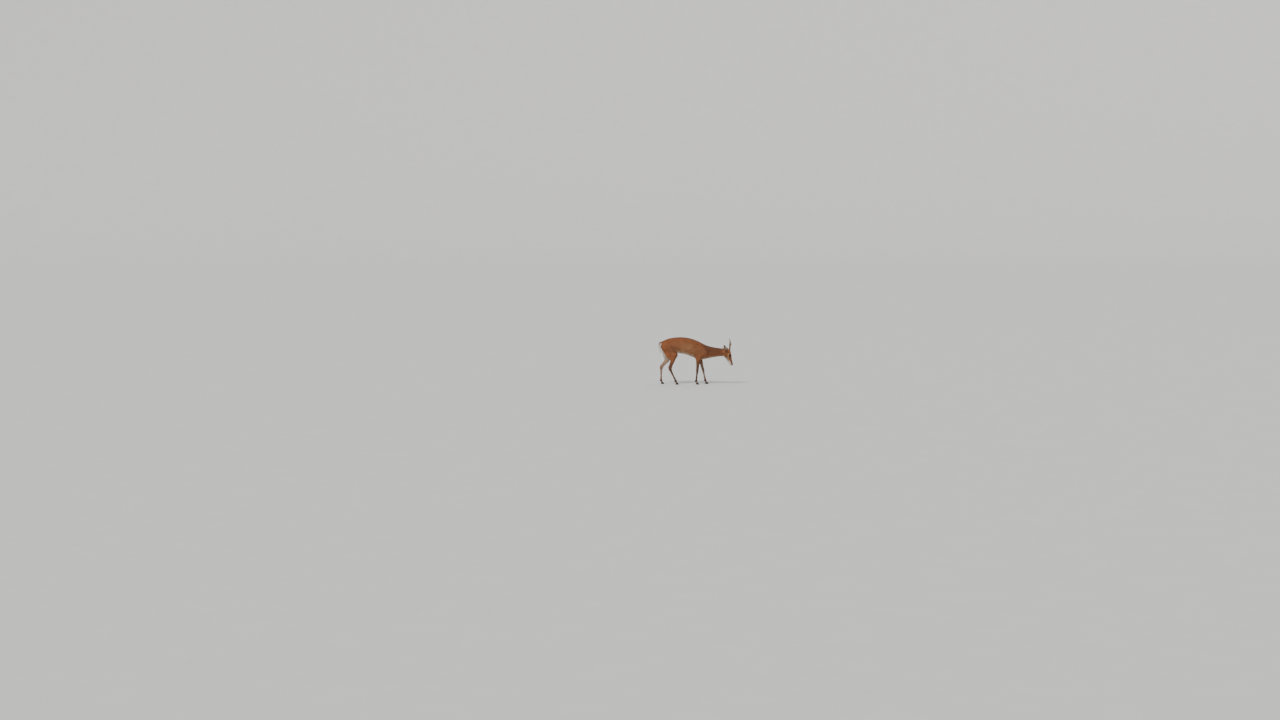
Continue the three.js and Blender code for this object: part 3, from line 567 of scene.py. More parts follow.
def body_colours(p, normal):
    x, y, z = p.T
    ahead, aside, rise = normal.T
    under = smooth(-rise + 0.1 * wave(p, 45, 7), 0.4, 0.95)
    inner = smooth(-np.sign(y) * aside + 0.12 * wave(p, 30, 9), 0.3, 0.9)
    thigh = smooth(z, 190, 330) * smooth(x, 0, -70)
    leg = smooth(z, 345, 215)
    fore = mix(0.6, 0.95, smooth(x, 60, 110))
    rump = smooth(x, -250, -272) * smooth(np.abs(y), 40, 18)
    return painted(
        CHESTNUT,
        (RUSSET, 0.8 * smooth(x, -90, -210)),
        (RUSSET, 0.5 * smooth(rise, 0.3, 0.8)),
        (SANDY, 0.75 * bell(x, 30, 120) * bell(z, 440, 62) * (1 + 0.25 * wave(p, 90, 4))),
        (UMBER, 0.5 * bell(x, -170, 90) * bell(z, 440, 55) * (1 + 0.3 * wave(p, 60, 3))),
        (UMBER, 0.75 * smooth(x, 170, 330) * smooth(z, 340, 420)),
        (DORSAL, 0.55 * bell(y, 0, 20) * smooth(rise, 0.5, 0.9)),
        (BUFF, 0.85 * under * smooth(x, 300, 130)),
        (BUFF, 0.55 * under * smooth(x, 180, 340)),
        (BUFF, 0.7 * inner * thigh),
        (WHITE, 0.6 * inner * thigh * smooth(z, 270, 380)),
        (WHITE, rump * smooth(z, 360, 400) * smooth(z, 525, 500)),
        (SHANK, 0.8 * leg * (1 - 0.45 * inner)),
        (SHANK_FRONT, smooth(z, 300, 190) * smooth(ahead, -0.1, 0.55) * fore),
        (BUFF, 0.3 * leg * inner * smooth(z, 60, 110)),
        (SHANK_FRONT, 0.7 * smooth(z, 60, 40)),
        (BUFF, 0.5 * bell(z, 32, 5) * leg),
    )


def face_colours(p, normal):
    at, up, across = in_head(p)
    out, top = np.abs(across), dot(normal, HEAD_TOP)
    from_mouth = up - mouth_line(at)
    to_eye = from_eye(at, up, out)
    lids = in_lids(on_left(p), 1) + 0.04 * wave(p, 6, 14)
    ridge = mix(17.5, 7.5, np.clip((at - 46) / 92, 0, 1))
    stripe = bell(out - ridge, -1.5, 4.6) * smooth(at, 150, 118) * smooth(up, 12, 18)
    pedicle = on_pedicle(at, up, 26, 52)
    return painted(
        FACE,
        (UMBER, 0.5 * smooth(at, 30, -20)),
        (RUSSET, 0.5 * smooth(top, 0.2, 0.8) * smooth(at, 140, 90)),
        (MUZZLE, 0.85 * smooth(at, 128, 172) * smooth(up, -8, 6)),
        (UMBER, 0.35 * smooth(at, 70, 40) * smooth(out, 25, 38)),
        (BUFF, 0.5 * bell(at, 118, 24) * bell(up, -22, 11)),
        (WHITE, 0.85 * smooth(top, -0.35, -0.8) * smooth(at, 20, 60)),
        (WHITE, 0.8 * bell(from_mouth, 4, 4.5) * smooth(at, 142, 168)),
        (WHITE, 0.95 * smooth(from_mouth, 1.5, -2.5) * smooth(at, 140, 165)),
        (BUFF, 0.45 * bell(to_eye, 19, 4) * smooth(top, 0.8, 0.3)),
        (STRIPE, smooth(lids, 1.5, 1.22) * smooth(to_eye, 24, 20)),
        (STRIPE, 0.9 * bell(at, 112, 13) * bell(up, 3, 4.5) * smooth(out, 20, 26)),
        (STRIPE, 0.95 * stripe * smooth(at, 8, 34)),
        (STRIPE, 0.8 * pedicle * smooth(out, 27, 20)),
        (SHANK, 0.5 * pedicle),
        (LEATHER, on_nose(at, up, out)),
        # painted shade inside the nostrils
        (NOSTRIL_SHADE, smooth(to_nostril(p), 1.2, -0.4)),
        (LEATHER, smooth(np.abs(from_mouth), 1.5, 0.7) * smooth(at, 158, 166)),
    )


def markings(p, normal):
    """The coat's colours at points of the skin"""
    return mix(body_colours(p, normal), face_colours(p, normal), head_share(p)[:, None])


def lie_of_coat(p, normal):
    """The way that the hairs point along the skin"""
    x, _, z = p.T
    at, up, _ = in_head(p)
    steep = 1 - np.abs(normal[:, 2])
    down = mix(0.15, 0.75, steep)
    down = mix(down, 1.5, smooth(x, -110, -230) * steep)
    down = mix(down, 1.0, smooth(x, 60, 160) * smooth(x, 300, 240) * steep)
    flow = np.stack([-np.ones(len(p)), np.zeros(len(p)), -down], 1)
    shank = np.array([-0.12, 0, -1])
    flow = mix(flow, shank, smooth(z, 350, 270)[:, None])
    brow = 0.5 * smooth(at, 120, 40) * smooth(up, 24, 0)
    face = head_way(-1, -0.15, 0) - HEAD_TOP * brow[:, None]
    face = mix(face, head_way(*PEDICLE_AIM[:2], 0), on_pedicle(at, up, 28, 50)[:, None])
    flow = mix(flow, face, head_share(p)[:, None])
    flow = unit(flow - dot(flow, normal)[:, None] * normal)
    return around(0.2 * wave(p, 70, 11) + 0.16 * wave(p, 13, 12), flow, np.cross(normal, flow))


def move_points(mesh, points):
    mesh.vertices.foreach_set("co", metres(points).ravel())
    mesh.update()


def new_mesh(name, points, *faces):
    """A smooth mesh from points and faces, with one array of faces for each number of corners"""
    sizes = np.concatenate([np.full(len(group), group.shape[1]) for group in faces])
    mesh = bpy.data.meshes.new(name)
    mesh.vertices.add(len(points))
    mesh.loops.add(int(sizes.sum()))
    mesh.loops.foreach_set("vertex_index", np.concatenate([group.ravel() for group in faces]))
    mesh.polygons.add(len(sizes))
    mesh.polygons.foreach_set("loop_start", np.cumsum(sizes) - sizes)
    mesh.vertices.foreach_set("co", metres(points).ravel())
    mesh.update(calc_edges=True)
    mesh.polygons.foreach_set("use_smooth", np.ones(len(sizes), bool))
    return mesh


def new_object(mesh, *materials):
    piece = bpy.data.objects.new(mesh.name, mesh)
    bpy.context.scene.collection.objects.link(piece)
    for material in materials:
        mesh.materials.append(material)
    return piece


def set_colours(mesh, colours):
    layer = mesh.color_attributes.new("coat", "FLOAT_COLOR", "POINT")
    rgba = np.concatenate([colours, np.ones((len(colours), 1))], 1)
    layer.data.foreach_set("color", rgba.astype(np.float32).ravel())


def read(items, name, kind=np.float32):
    """Three numbers of each item of a mesh"""
    values = np.empty(3 * len(items), kind)
    items.foreach_get(name, values)
    return values.reshape(-1, 3)


def points_of(mesh):
    return read(mesh.vertices, "co").astype(float) * 1000 - SHIFT


def normals_of(mesh):
    return read(mesh.vertex_normals, "vector").astype(float)


def add_node(tree, kind, inputs=(), **settings):
    """A node with its settings, and its inputs given as numbers or as sockets to link from"""
    node = tree.nodes.new(kind)
    for key, value in settings.items():
        setattr(node, key, value)
    for key, value in dict(inputs).items():
        if isinstance(value, bpy.types.NodeSocket):
            tree.links.new(value, node.inputs[key])
        else:
            node.inputs[key].default_value = value
    return node


def shader_of(tree):
    return tree.nodes["Principled BSDF"]


def plain_material(name, **sockets):
    """A material with its shader's own sockets set"""
    material = bpy.data.materials.new(name)
    material.use_nodes = True
    for socket, value in sockets.items():
        shader_of(material.node_tree).inputs[socket.replace("_", " ")].default_value = value
    return material


def own_place(tree):
    """The object's own coordinates"""
    return add_node(tree, "ShaderNodeTexCoord").outputs["Object"]


def grain(tree, scale, detail=3, stretch=(1, 1, 1)):
    """Noise on the object's own coordinates"""
    place = add_node(tree, "ShaderNodeMapping", {"Vector": own_place(tree), "Scale": stretch})
    settings = {"Vector": place.outputs["Vector"], "Scale": scale, "Detail": detail}
    return add_node(tree, "ShaderNodeTexNoise", settings).outputs["Fac"]


def shaded(tree, colour, noise, low, high):
    """A colour made darker and lighter by noise"""
    limits = {"From Min": 0.25, "From Max": 0.75, "To Min": low, "To Max": high}
    span = add_node(tree, "ShaderNodeMapRange", {"Value": noise, **limits}).outputs["Result"]
    scaled = add_node(tree, "ShaderNodeVectorMath", {0: colour, "Scale": span}, operation="SCALE")
    return scaled.outputs["Vector"]


def bump(tree, height, strength, distance):
    node = add_node(tree, "ShaderNodeBump", {"Height": height, "Strength": strength, "Distance": distance})
    tree.links.new(node.outputs["Normal"], shader_of(tree).inputs["Normal"])


def coloured(name, low, high, scale, relief=None, **sockets):
    """A material with the mesh's own colours, varied by broad and fine noise, over a noisy relief"""
    material = plain_material(name, **sockets)
    tree = material.node_tree
    paint = add_node(tree, "ShaderNodeAttribute", attribute_name="coat").outputs["Color"]
    broad = shaded(tree, paint, grain(tree, 22), 0.9, 1.1)
    fine = shaded(tree, broad, grain(tree, scale), low, high)
    tree.links.new(fine, shader_of(tree).inputs["Base Color"])
    if relief:
        strength, distance, *noise = relief
        bump(tree, grain(tree, *noise), strength, distance)
    return material


SHEEN = dict(Sheen_Weight=0.05, Sheen_Roughness=0.4)
COAT = coloured("coat", 0.86, 1.14, 420, Roughness=0.6, Specular_IOR_Level=0.3, **SHEEN)
SKIN = coloured(
    "skin_coat", 0.7, 1.2, 900, (0.7, 0.0008, 1400, 4),
    Roughness=0.65, Specular_IOR_Level=0.25, **SHEEN)
LEATHER_SKIN = coloured(
    "nose_leather", 0.8, 1.2, 500,
    Roughness=0.34, Specular_IOR_Level=0.55, Coat_Weight=0.2, Coat_Roughness=0.25)
HORN = coloured(
    "horn", 0.75, 1.3, 260, (0.6, 0.0006, 60, 5, (1, 1, 14)),
    Roughness=0.42, Specular_IOR_Level=0.5)
ANTLER = coloured(
    "antler", 0.84, 1.14, 700, (0.6, 0.0006, 130, 5, (6, 6, 1)),
    Roughness=0.48, Specular_IOR_Level=0.45)
IVORY = coloured(
    "ivory", 0.9, 1.06, 160,
    Roughness=0.28, Specular_IOR_Level=0.55, Coat_Weight=0.3, Coat_Roughness=0.15)
EYE = coloured(
    "wet_eye", 0.7, 1.3, 900,
    Roughness=0.1, IOR=1.36, Specular_IOR_Level=0.35, Coat_Weight=0.3, Coat_Roughness=0.03)
LINING = coloured(
    "ear_lining", 0.85, 1.1, 300, (0.5, 0.0008, 260, 4),
    Roughness=0.6, Specular_IOR_Level=0.35, Subsurface_Weight=0.15)

leather_tree = LEATHER_SKIN.node_tree
pebbles = add_node(leather_tree, "ShaderNodeTexVoronoi", {"Vector": own_place(leather_tree), "Scale": 780})
bump(leather_tree, pebbles.outputs["Distance"], 0.8, 0.0006)


def finish_piece(piece, slot, *nodes):
    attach(piece, "root")
    if nodes:
        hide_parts(*nodes)


def shape_head(p, normal):
    """Presses the mouth, nostrils, glands and eye sockets into the skin of the head"""
    at, up, across = in_head(p)
    out = np.abs(across)
    lips = smooth(at, MOUTH_CORNER - 4, MOUTH_CORNER + 8)
    from_mouth = up - mouth_line(at)
    rise = -3.2 * bell(from_mouth, 0, 1.15) * lips
    rise += 0.9 * bell(from_mouth, 4.2, 2.6) * lips
    rise += 0.8 * bell(from_mouth, -3.6, 2.2) * lips
    slit = np.abs((at - 113) * 0.94 + (up - 3) * 0.34)
    beside = np.abs((up - 3) * 0.94 + (at - 113) * 0.34)
    gland = smooth(slit, 12, 8) * smooth(out, 18, 24)
    rise -= 2.4 * bell(beside, 0, 1.3) * gland
    rise += 0.8 * bell(beside, 3.2, 1.6) * gland
    crease = bell(out, mix(12, 5.5, np.clip((at - 62) / 60, 0, 1)), 1.2)
    rise -= 0.9 * crease * smooth(at, 58, 66) * smooth(at, 124, 112) * smooth(up, 14, 20)
    pad = on_nose(at, up, out)
    rise -= 1.3 * bell(out, 0, 0.9) * pad * smooth(up, 4, -2)
    rise += 0.5 * pad
    edge = to_nostril(p)
    rise -= 4.8 * smooth(edge, 1.6, -1)
    rise += 0.8 * bell(edge, 3, 1.4) * pad
    p = p + normal * (rise * head_share(p))[:, None]
    for side in SIDES.values():
        socket = by_eye(p, side, 1.2, 2 * EYE_RADIUS)
        p[socket] = eye_centre(side) + SOCKET_RADIUS * unit(p[socket] - eye_centre(side))
    return p


def finer_regions(p):
    """Where the skin is split once, twice and three times: head and shanks, face, lips and nose"""
    x, z = p[:, 0], p[:, 2]
    at, up, _ = in_head(p)
    lips = (at > MOUTH_CORNER - 6) & (np.abs(up - mouth_line(at)) < 7)
    return [
        (at > 0) & (x > 440) | (z < 220),
        (at > 62) & (x > 500) & (up < 60),
        ((at > 194) | lips) & (x > 500) & (z > 200),
    ]


def split_faces(mesh, wanted):
    """Divides the faces whose corners are all wanted into four"""
    bm = bmesh.new()
    bm.from_mesh(mesh)
    chosen = [e for e in bm.edges if wanted[e.verts[0].index] and wanted[e.verts[1].index]]
    bmesh.ops.subdivide_edges(bm, edges=chosen, cuts=1, use_grid_fill=True)
    bm.to_mesh(mesh)
    bm.free()


def make_skin():
    """One skin over trunk, neck, head and legs, with its normals from before the face is shaped"""
    points, quads = surface_net(skin_field, *SKIN_BOX, SKIN_CELL)
    mesh = new_mesh("skin", settle(skin_field, points, 1.6, 2), quads)
    for step in range(3):
        split_faces(mesh, finer_regions(points_of(mesh))[step])
    points = settle(skin_field, points_of(mesh), 1.2, 2)
    move_points(mesh, points)
    normal = normals_of(mesh)
    at, up, across = in_head(points)
    bare = on_nose(at, up, np.abs(across)) > 0.5
    set_colours(mesh, markings(points, normal))
    move_points(mesh, shape_head(points, normal))
    slots = np.array([bare[list(f.vertices)].all() for f in mesh.polygons], np.int32)
    mesh.polygons.foreach_set("material_index", slots)
    return new_object(mesh, SKIN, LEATHER_SKIN), normal


skin, skin_normals = make_skin()
finish_piece(skin, "coat", "torso", "neck", "head", "nose", *(f"leg_{name}" for name in STANCE))


def grid_faces(rows, columns):
    """Quads over rows of points, each row closed into a ring"""
    r, c = (index.ravel() for index in np.indices((rows - 1, columns)))
    after = (c + 1) % columns
    corners = ((r, c), (r, after), (r + 1, after), (r + 1, c))
    return np.stack([row * columns + column for row, column in corners], 1)


def face_out(mesh):
    """Turns a closed mesh's faces outwards"""
    bm = bmesh.new()
    bm.from_mesh(mesh)
    if bm.calc_volume(signed=True) < 0:
        bmesh.ops.reverse_faces(bm, faces=bm.faces)
        bm.to_mesh(mesh)
    bm.free()


def loft(name, rings, colours, material):
    """A closed smooth skin through rings of equally many points, with a point in the middle of each end"""
    rows, columns = rings.shape[:2]
    colours = np.broadcast_to(colours, rings.shape)
    points, tints = (np.concatenate([v.reshape(-1, 3), v[[0, -1]].mean(1)]) for v in (rings, colours))
    first = np.arange(columns)
    after = (first + 1) % columns
    last_row, middle = (rows - 1) * columns, rows * columns
    start_fan = np.stack([after, first, np.full(columns, middle)], 1)
    end_fan = np.stack([last_row + first, last_row + after, np.full(columns, middle + 1)], 1)
    mesh = new_mesh(name, points, grid_faces(rows, columns), start_fan, end_fan)
    set_colours(mesh, tints)
    face_out(mesh)
    return new_object(mesh, material)


def merged(name, pieces):
    """Joins pieces into one object"""
    with bpy.context.temp_override(active_object=pieces[0], selected_editable_objects=pieces):
        bpy.ops.object.join()
    pieces[0].name = pieces[0].data.name = name
    return pieces[0]


def curve(points, count):
    """Evenly spaced points and directions on a centripetal curve through some points"""
    p = np.array(points, float)
    p = np.concatenate([[2 * p[0] - p[1]], p, [2 * p[-1] - p[-2]]])
    fine = []
    for i in range(len(p) - 3):
        four = p[i:i + 4]
        knots = np.cumsum([0, *np.linalg.norm(np.diff(four, axis=0), axis=1) ** 0.5])
        t = np.linspace(knots[1], knots[2], 33)[:, None]
        for reach in (1, 2):
            shares = [(t - a) / (b - a) for a, b in zip(knots, knots[reach:])]
            four = [mix(a, b, share) for a, b, share in zip(four, four[1:], shares)]
        fine.append(mix(*four, (t - knots[1]) / (knots[2] - knots[1]))[:-1])
    fine = np.concatenate([*fine, p[-2][None]])
    run = np.concatenate([[0], np.cumsum(np.linalg.norm(np.diff(fine, axis=0), axis=1))])
    even = np.linspace(0, run[-1], count)
    path = np.stack([np.interp(even, run, fine[:, i]) for i in range(3)], 1)
    return path, unit(np.gradient(path, axis=0))


def spun(path, way, radii, sides, hint):
    """Rings of points round a path, each of which starts square to the hint"""
    side = unit(np.cross(way, hint))
    reach = np.broadcast_to(radii, (len(path), sides))[..., None]
    return path[:, None] + reach * around(turns(sides), side[:, None], np.cross(way, side)[:, None])


def tapered(places, radii, stations, steps, sides, hint):
    """Rings round a curve through places, with the radii at stations along it"""
    radius = np.interp(np.linspace(0, 1, steps), stations, radii)[:, None]
    return spun(*curve(places, steps), radius, sides, hint)


# Eyes: a dark iris with a long level pupil on a wet eyeball that bulges at its cornea
def make_eye(name, side):
    aim, line, rise = eye_axes(side)
    polar = np.linspace(0.02, math.pi, 40)[:, None]
    turn = turns(64)[None]
    radius = EYE_RADIUS * (0.985 + 0.045 * np.exp(-(polar / 0.55) ** 4))
    rings = eye_centre(side) + (radius * np.cos(polar))[..., None] * aim
    rings = rings + (radius * np.sin(polar))[..., None] * around(turn, line, rise)
    x, y = np.sin(polar) * np.cos(turn), np.sin(polar) * np.sin(turn)
    from_middle = np.hypot(x, y)[..., None]
    pupil = smooth(np.hypot(x / 0.46, y / 0.26), 1.06, 0.94)[..., None]
    colours = mix(IRIS, IRIS_EDGE, smooth(from_middle, 0.35, 0.72))
    colours = mix(mix(colours, PUPIL, pupil), EYE_WHITE, smooth(from_middle, 0.8, 0.9))
    finish_piece(loft(f"eyeball_{name}", rings, colours, EYE), "eye", f"eye_{name}")


# Lids: a dark moist margin on the eyeball, rolled over and blended into the face after its first rings.
# Each ring is spread as a share of the opening, height over the eyeball and darkness of the margin
LID_RINGS = [
    (0.95, 0.1, 1),
    (0.96, 0.75, 1),
    (1.0, 1.25, 1),
    (1.07, 1.5, 0.9),
    (1.16, 1.45, 0.6),
    (1.32, 1.3, 0.2),
    (1.55, 1.1, 0),
    (1.9, 0.6, 0),
]
LID_FREE_RINGS = 4


def make_lids(name, side):
    aim, line, rise = eye_axes(side)
    centre = eye_centre(side)
    turn = turns(72)
    from_nose = np.abs((turn + math.pi) % (2 * math.pi) - math.pi)
    almond = 1 - 0.24 * np.cos(turn) ** 2 * np.abs(np.sin(turn))
    corner = 1 + 0.2 * bell(from_nose, 0, 0.3) + 0.08 * bell(from_nose, math.pi, 0.3)
    x, y = LID_ALONG * 0.95 * np.cos(turn) * corner, LID_ACROSS * 0.9 * np.sin(turn) * almond
    opening = x[:, None] * line + y[:, None] * rise
    rings = []
    for i, (spread_out, height, _) in enumerate(LID_RINGS):
        away = unit(aim + spread_out * opening)
        ring = centre + (EYE_RADIUS + height) * away
        if i >= LID_FREE_RINGS:
            share = (i + 1 - LID_FREE_RINGS) / (len(LID_RINGS) - LID_FREE_RINGS)
            onto = settle(skin_field, ring, 3, 3) + away * mix(0.5, -0.9, share)
            ring = mix(ring, onto, smooth(share, 0, 0.7))
        rings.append(ring)
    points = np.concatenate(rings)
    margin = np.repeat([dark for _, _, dark in LID_RINGS], len(turn))[:, None]
    mesh = new_mesh(f"lids_{name}", points, grid_faces(len(rings), len(turn)))
    set_colours(mesh, mix(markings(points, unit(points - centre)), LID_MARGIN, margin))
    middle = len(points) // 2
    if normals_of(mesh)[middle] @ (points[middle] - centre) < 0:
        mesh.flip_normals()
    finish_piece(new_object(mesh, SKIN), "coat")


# Ears: thin curved cups, rolled up at the root. The slices are place, radius and half the roll in degrees
EAR_ROOT = (20, 4, 34)
EAR_LENGTH, EAR_SUNK = 96, 6
EAR_SKIN, EAR_THICK = 0.9, 2.2
EAR_SLICES = np.array([
    (0, 12, 150),
    (0.14, 14.5, 128),
    (0.3, 20, 98),
    (0.46, 24.5, 80),
    (0.62, 26, 68),
    (0.78, 25, 55),
    (0.9, 22, 38),
    (1, 16, 12),
], float)


def ear_axes(side):
    """The way along an ear, the way that its cup opens and the way across it"""
    aim = unit(head_way(-0.66, -0.06, 0.74 * side))
    mouth = head_way(0.3, 0.88, 0.35 * side)
    mouth = unit(mouth - (mouth @ aim) * aim)
    return aim, mouth, np.cross(aim, mouth)


def ear_point(t, share, depth, side):
    """Points of an ear at t along it and at a share of its roll, at a depth inside its outer radius"""
    aim, mouth, edge = ear_axes(side)
    t, share = np.broadcast_arrays(t, share)
    turn = np.radians(along(EAR_SLICES, t, 2)) * share
    centre = head_point(*np.multiply(EAR_ROOT, (1, 1, side))) + (EAR_LENGTH * t - EAR_SUNK)[..., None] * aim
    centre = centre + (10 * t * t - 4 * t)[..., None] * mouth
    return centre + (along(EAR_SLICES, t, 1) - depth)[..., None] * around(turn, -mouth, edge)


def make_ear(name, side):
    t = np.linspace(0, 1, 44)[:, None]
    share = np.linspace(-1, 1, 34)[None]
    outer = ear_point(t, share, EAR_SKIN, side)
    inner = ear_point(t, -share * 0.97, EAR_SKIN + EAR_THICK, side)
    back = mix(EAR_BACK, FACE, 0.7 * smooth(t, 0.3, 0)[..., None])
    lining = mix(EAR_LINING, EAR_BACK, 0.6 * smooth(np.abs(share), 0.75, 1)[..., None])
    colours = np.concatenate([np.broadcast_to(face, outer.shape) for face in (back, lining)], 1)
    return loft(f"ear_{name}_shell", np.concatenate([outer, inner], 1), colours, LINING)


# Antlers: a rough burr, a grooved beam that hooks in at its polished tip, and a brow tine.
# Places are reach beyond the pedicle, back and apart, then come radii, sides, steps and roughness
ANTLER_PARTS = {
    "beam": (
        ((0.3, 0, 0), (10, 0, 0), (38, 1, 5), (68, 6, 7), (86, 14, 1)),
        (11.2, 12.4, 9.4, 8.2, 7.6, 7, 6.2, 5.2, 4.1, 2.8, 1), 56, 150, 1,
    ),
    "brow_tine": (((13, -2, 0), (23, -11, -2), (37, -16, -2)), (4.8, 4.2, 3.4, 2.3, 0.8), 24, 30, 0.4),
}


def antler_place(reach, back, apart, side):
    return head_point(*(pedicle_at(PEDICLE_LENGTH + reach, side) + (-back, -back * 0.9, apart * side)))


def horn_of(name, path, radii, sides, steps, rough):
    """A horn along a path, with grooves and pearls that fade to a polished tip"""
    t = np.linspace(0, 1, steps)[:, None]
    turn = turns(sides)[None]
    radius = np.interp(t[:, 0], np.linspace(0, 1, len(radii)), radii)[:, None]
    groove = np.abs(np.sin(4 * turn + 1.8 * t + 0.7 * np.sin(2 * turn))) ** 0.8
    groove = groove + 0.4 * np.sin(11 * turn + 5 * t)
    burr = bell(t, 0.07, 0.07)
    knobs = np.sin(8 * turn + 3 * np.sin(2 * turn)) * np.sin(60 * t + 2.2 * np.sin(3 * turn))
    pearls = np.maximum(knobs + 0.3 * np.sin(15 * turn - 40 * t), 0)
    fade = smooth(t, 0.9, 0.3)
    radius = radius * (1 - rough * 0.06 * groove * fade) + rough * pearls * (1.6 * burr + 0.35 * fade)
    radius = radius * np.where(t > 0.985, 0.4, 1) * (1 - 0.2 * rough * smooth(t, 0.03, 0))
    # The beam pales towards its polished tip and on its pearls; painted shade darkens the grooves' valleys
    # and lightens the ridges between them
    shade = 0.15 + 0.75 * smooth(t, 0.4, 1) + 0.35 * (0.6 - groove) * fade + 0.25 * pearls * fade - 0.1 * burr
    colours = mix(ANTLER_BROWN, ANTLER_PALE, np.clip(shade, 0, 1)[..., None])
    return loft(name, spun(*curve(path, steps), radius, sides, HEAD_OUT), colours, ANTLER)


def make_antler(name, side):
    parts = [
        horn_of(f"{part}_{name}", [antler_place(*place, side) for place in places], *form)
        for part, (places, *form) in ANTLER_PARTS.items()
    ]
    nodes = [f"antler_{name}_{part}" for part in ANTLER_PARTS]
    finish_piece(merged(f"antler_{name}", parts), "antler", *nodes)


# Upper canines that come out under the lip and curve back
TUSK_PLACES = ((184, -10, 15), (186, -19, 20), (184, -28, 22.5), (180, -35, 22.5))
TUSK_RADII = (3.5, 3.3, 2.7, 1.8, 0.5)


def make_tusk(name, side):
    path = [head_point(at, up, out * side) for at, up, out in TUSK_PLACES]
    rings = tapered(path, TUSK_RADII, np.linspace(0, 1, 5), 24, 20, HEAD_AXIS)
    paler = smooth(np.linspace(0, 1, 24), 0, 0.8)[:, None, None]
    canine = loft(f"canine_{name}", rings, mix(TUSK_ROOT, TUSK_TIP, paler), IVORY)
    finish_piece(canine, "ivory", f"tusk_{name}")


# Hooves: two claws with growth rings, straight along the cleft, and dewclaws behind.
# A claw's rings are share of its height, middle, half its length and width. The ripple of its growth
# is in radians over its height
HOOF_FRONT, HOOF_FRONT_HEIGHT = 12, 29
HOOF_HEEL, HOOF_HEEL_HEIGHT = -14, 16
HOOF_GAP, HOOF_CLEFT = 0.3, 0.9
HOOF_GROWTH = 38
HOOF_RINGS = np.array([
    (0, 5.5, 21.6, 11.8),
    (0.05, 5.3, 22.2, 12.4),
    (0.3, 2.8, 19.2, 13),
    (0.75, -1.2, 14.7, 12.8),
    (1, -3.4, 12.2, 12.4),
], float)
DEWCLAW_ROOT, DEWCLAW_TIP = np.array([-6, 5, -2]), np.array([-18.5, 8.6, -14.5])
DEWCLAW_RADII, DEWCLAW_STATIONS = (4.2, 4, 2.8, 0.8), (0, 0.5, 0.85, 1)


def hoof_top(x):
    """Height of a claw's upper edge, just under the leg's end"""
    slant = (HOOF_FRONT_HEIGHT - HOOF_HEEL_HEIGHT) / (HOOF_FRONT - HOOF_HEEL)
    return (HOOF_FRONT_HEIGHT + HOOF_HEEL_HEIGHT) / 2 + slant * x - HOOF_GAP


def make_claw(name, toe, out, outward):
    share = np.linspace(0, 1, 26)[:, None]
    middle, reach, wide = (along(HOOF_RINGS, share, c) for c in (1, 2, 3))
    round_side, cleft_side = np.linspace(0, math.pi, 36), np.linspace(-0.97, 0.97, 10)
    x = middle + reach * np.concatenate([np.cos(round_side), cleft_side])
    y = HOOF_CLEFT + wide * np.concatenate([np.sin(round_side) ** 0.8, np.zeros(len(cleft_side))])
    y = y + 0.22 * np.sin(HOOF_GROWTH * share) * smooth(share, 0.05, 0.2) * (y > 1.5)
    rings = np.stack([toe + x, out + outward * y, hoof_top(x) * share], -1)
    shade = 0.5 + 0.5 * np.sin(HOOF_GROWTH * share + 1)
    colours = mix(HOOF_DARK, HOOF_PALE, (0.5 * shade + 0.4 * smooth(share, 0.2, 0))[..., None])
    return loft(name, rings, colours, HORN)


def make_hooves(name, pose):
    side, fetlock = LEG_SIDE[name], LEG_POINTS[name][-2]
    for claw, outward in (("outer", side), ("inner", -side)):
        piece = make_claw(f"claw_{name}_{claw}", pose["toe"], fetlock[1], outward)
        finish_piece(piece, "horn", f"hoof_{name}_{claw}")
    claws = []
    for inner in (-1, 1):
        root, tip = (fetlock + place * (1, inner, 1) for place in (DEWCLAW_ROOT, DEWCLAW_TIP))
        bend = (root + tip) / 2 + (-1.5, 0, 0)
        rings = tapered([root, bend, tip], DEWCLAW_RADII, DEWCLAW_STATIONS, 16, 18, HEAD_OUT)
        claws.append(loft(f"dewclaw_{inner}", rings, DEWCLAW_DARK, HORN))
    finish_piece(merged(f"dewclaws_{name}", claws), "horn")


for name, side in SIDES.items():
    make_eye(name, side)
    make_lids(name, side)
    make_antler(name, side)
    make_tusk(name, side)
for name, pose in STANCE.items():
    make_hooves(name, pose)


# Coat: flat tapered tufts, rooted in the skin, that lie along it
TUFT_PATCH = 0.003
TUFT_UNWRAP = TUFT_PATCH / 2 * np.array([(-1, -1), (1, -1), (0.8, 0.1), (-0.8, 0.1), (0, 1)])
# Brightness from a tuft's root to its tip: painted shade darkens the roots, where the hairs shade each other,
# and the tips are painted a little lighter
TUFT_PAINTED_SHADING = np.array([0.8, 0.8, 1.0, 1.0, 1.1])
MIDDLE_LENGTH, MIDDLE_HEIGHT, MIDDLE_WIDTH = 0.55, 0.85, 0.42


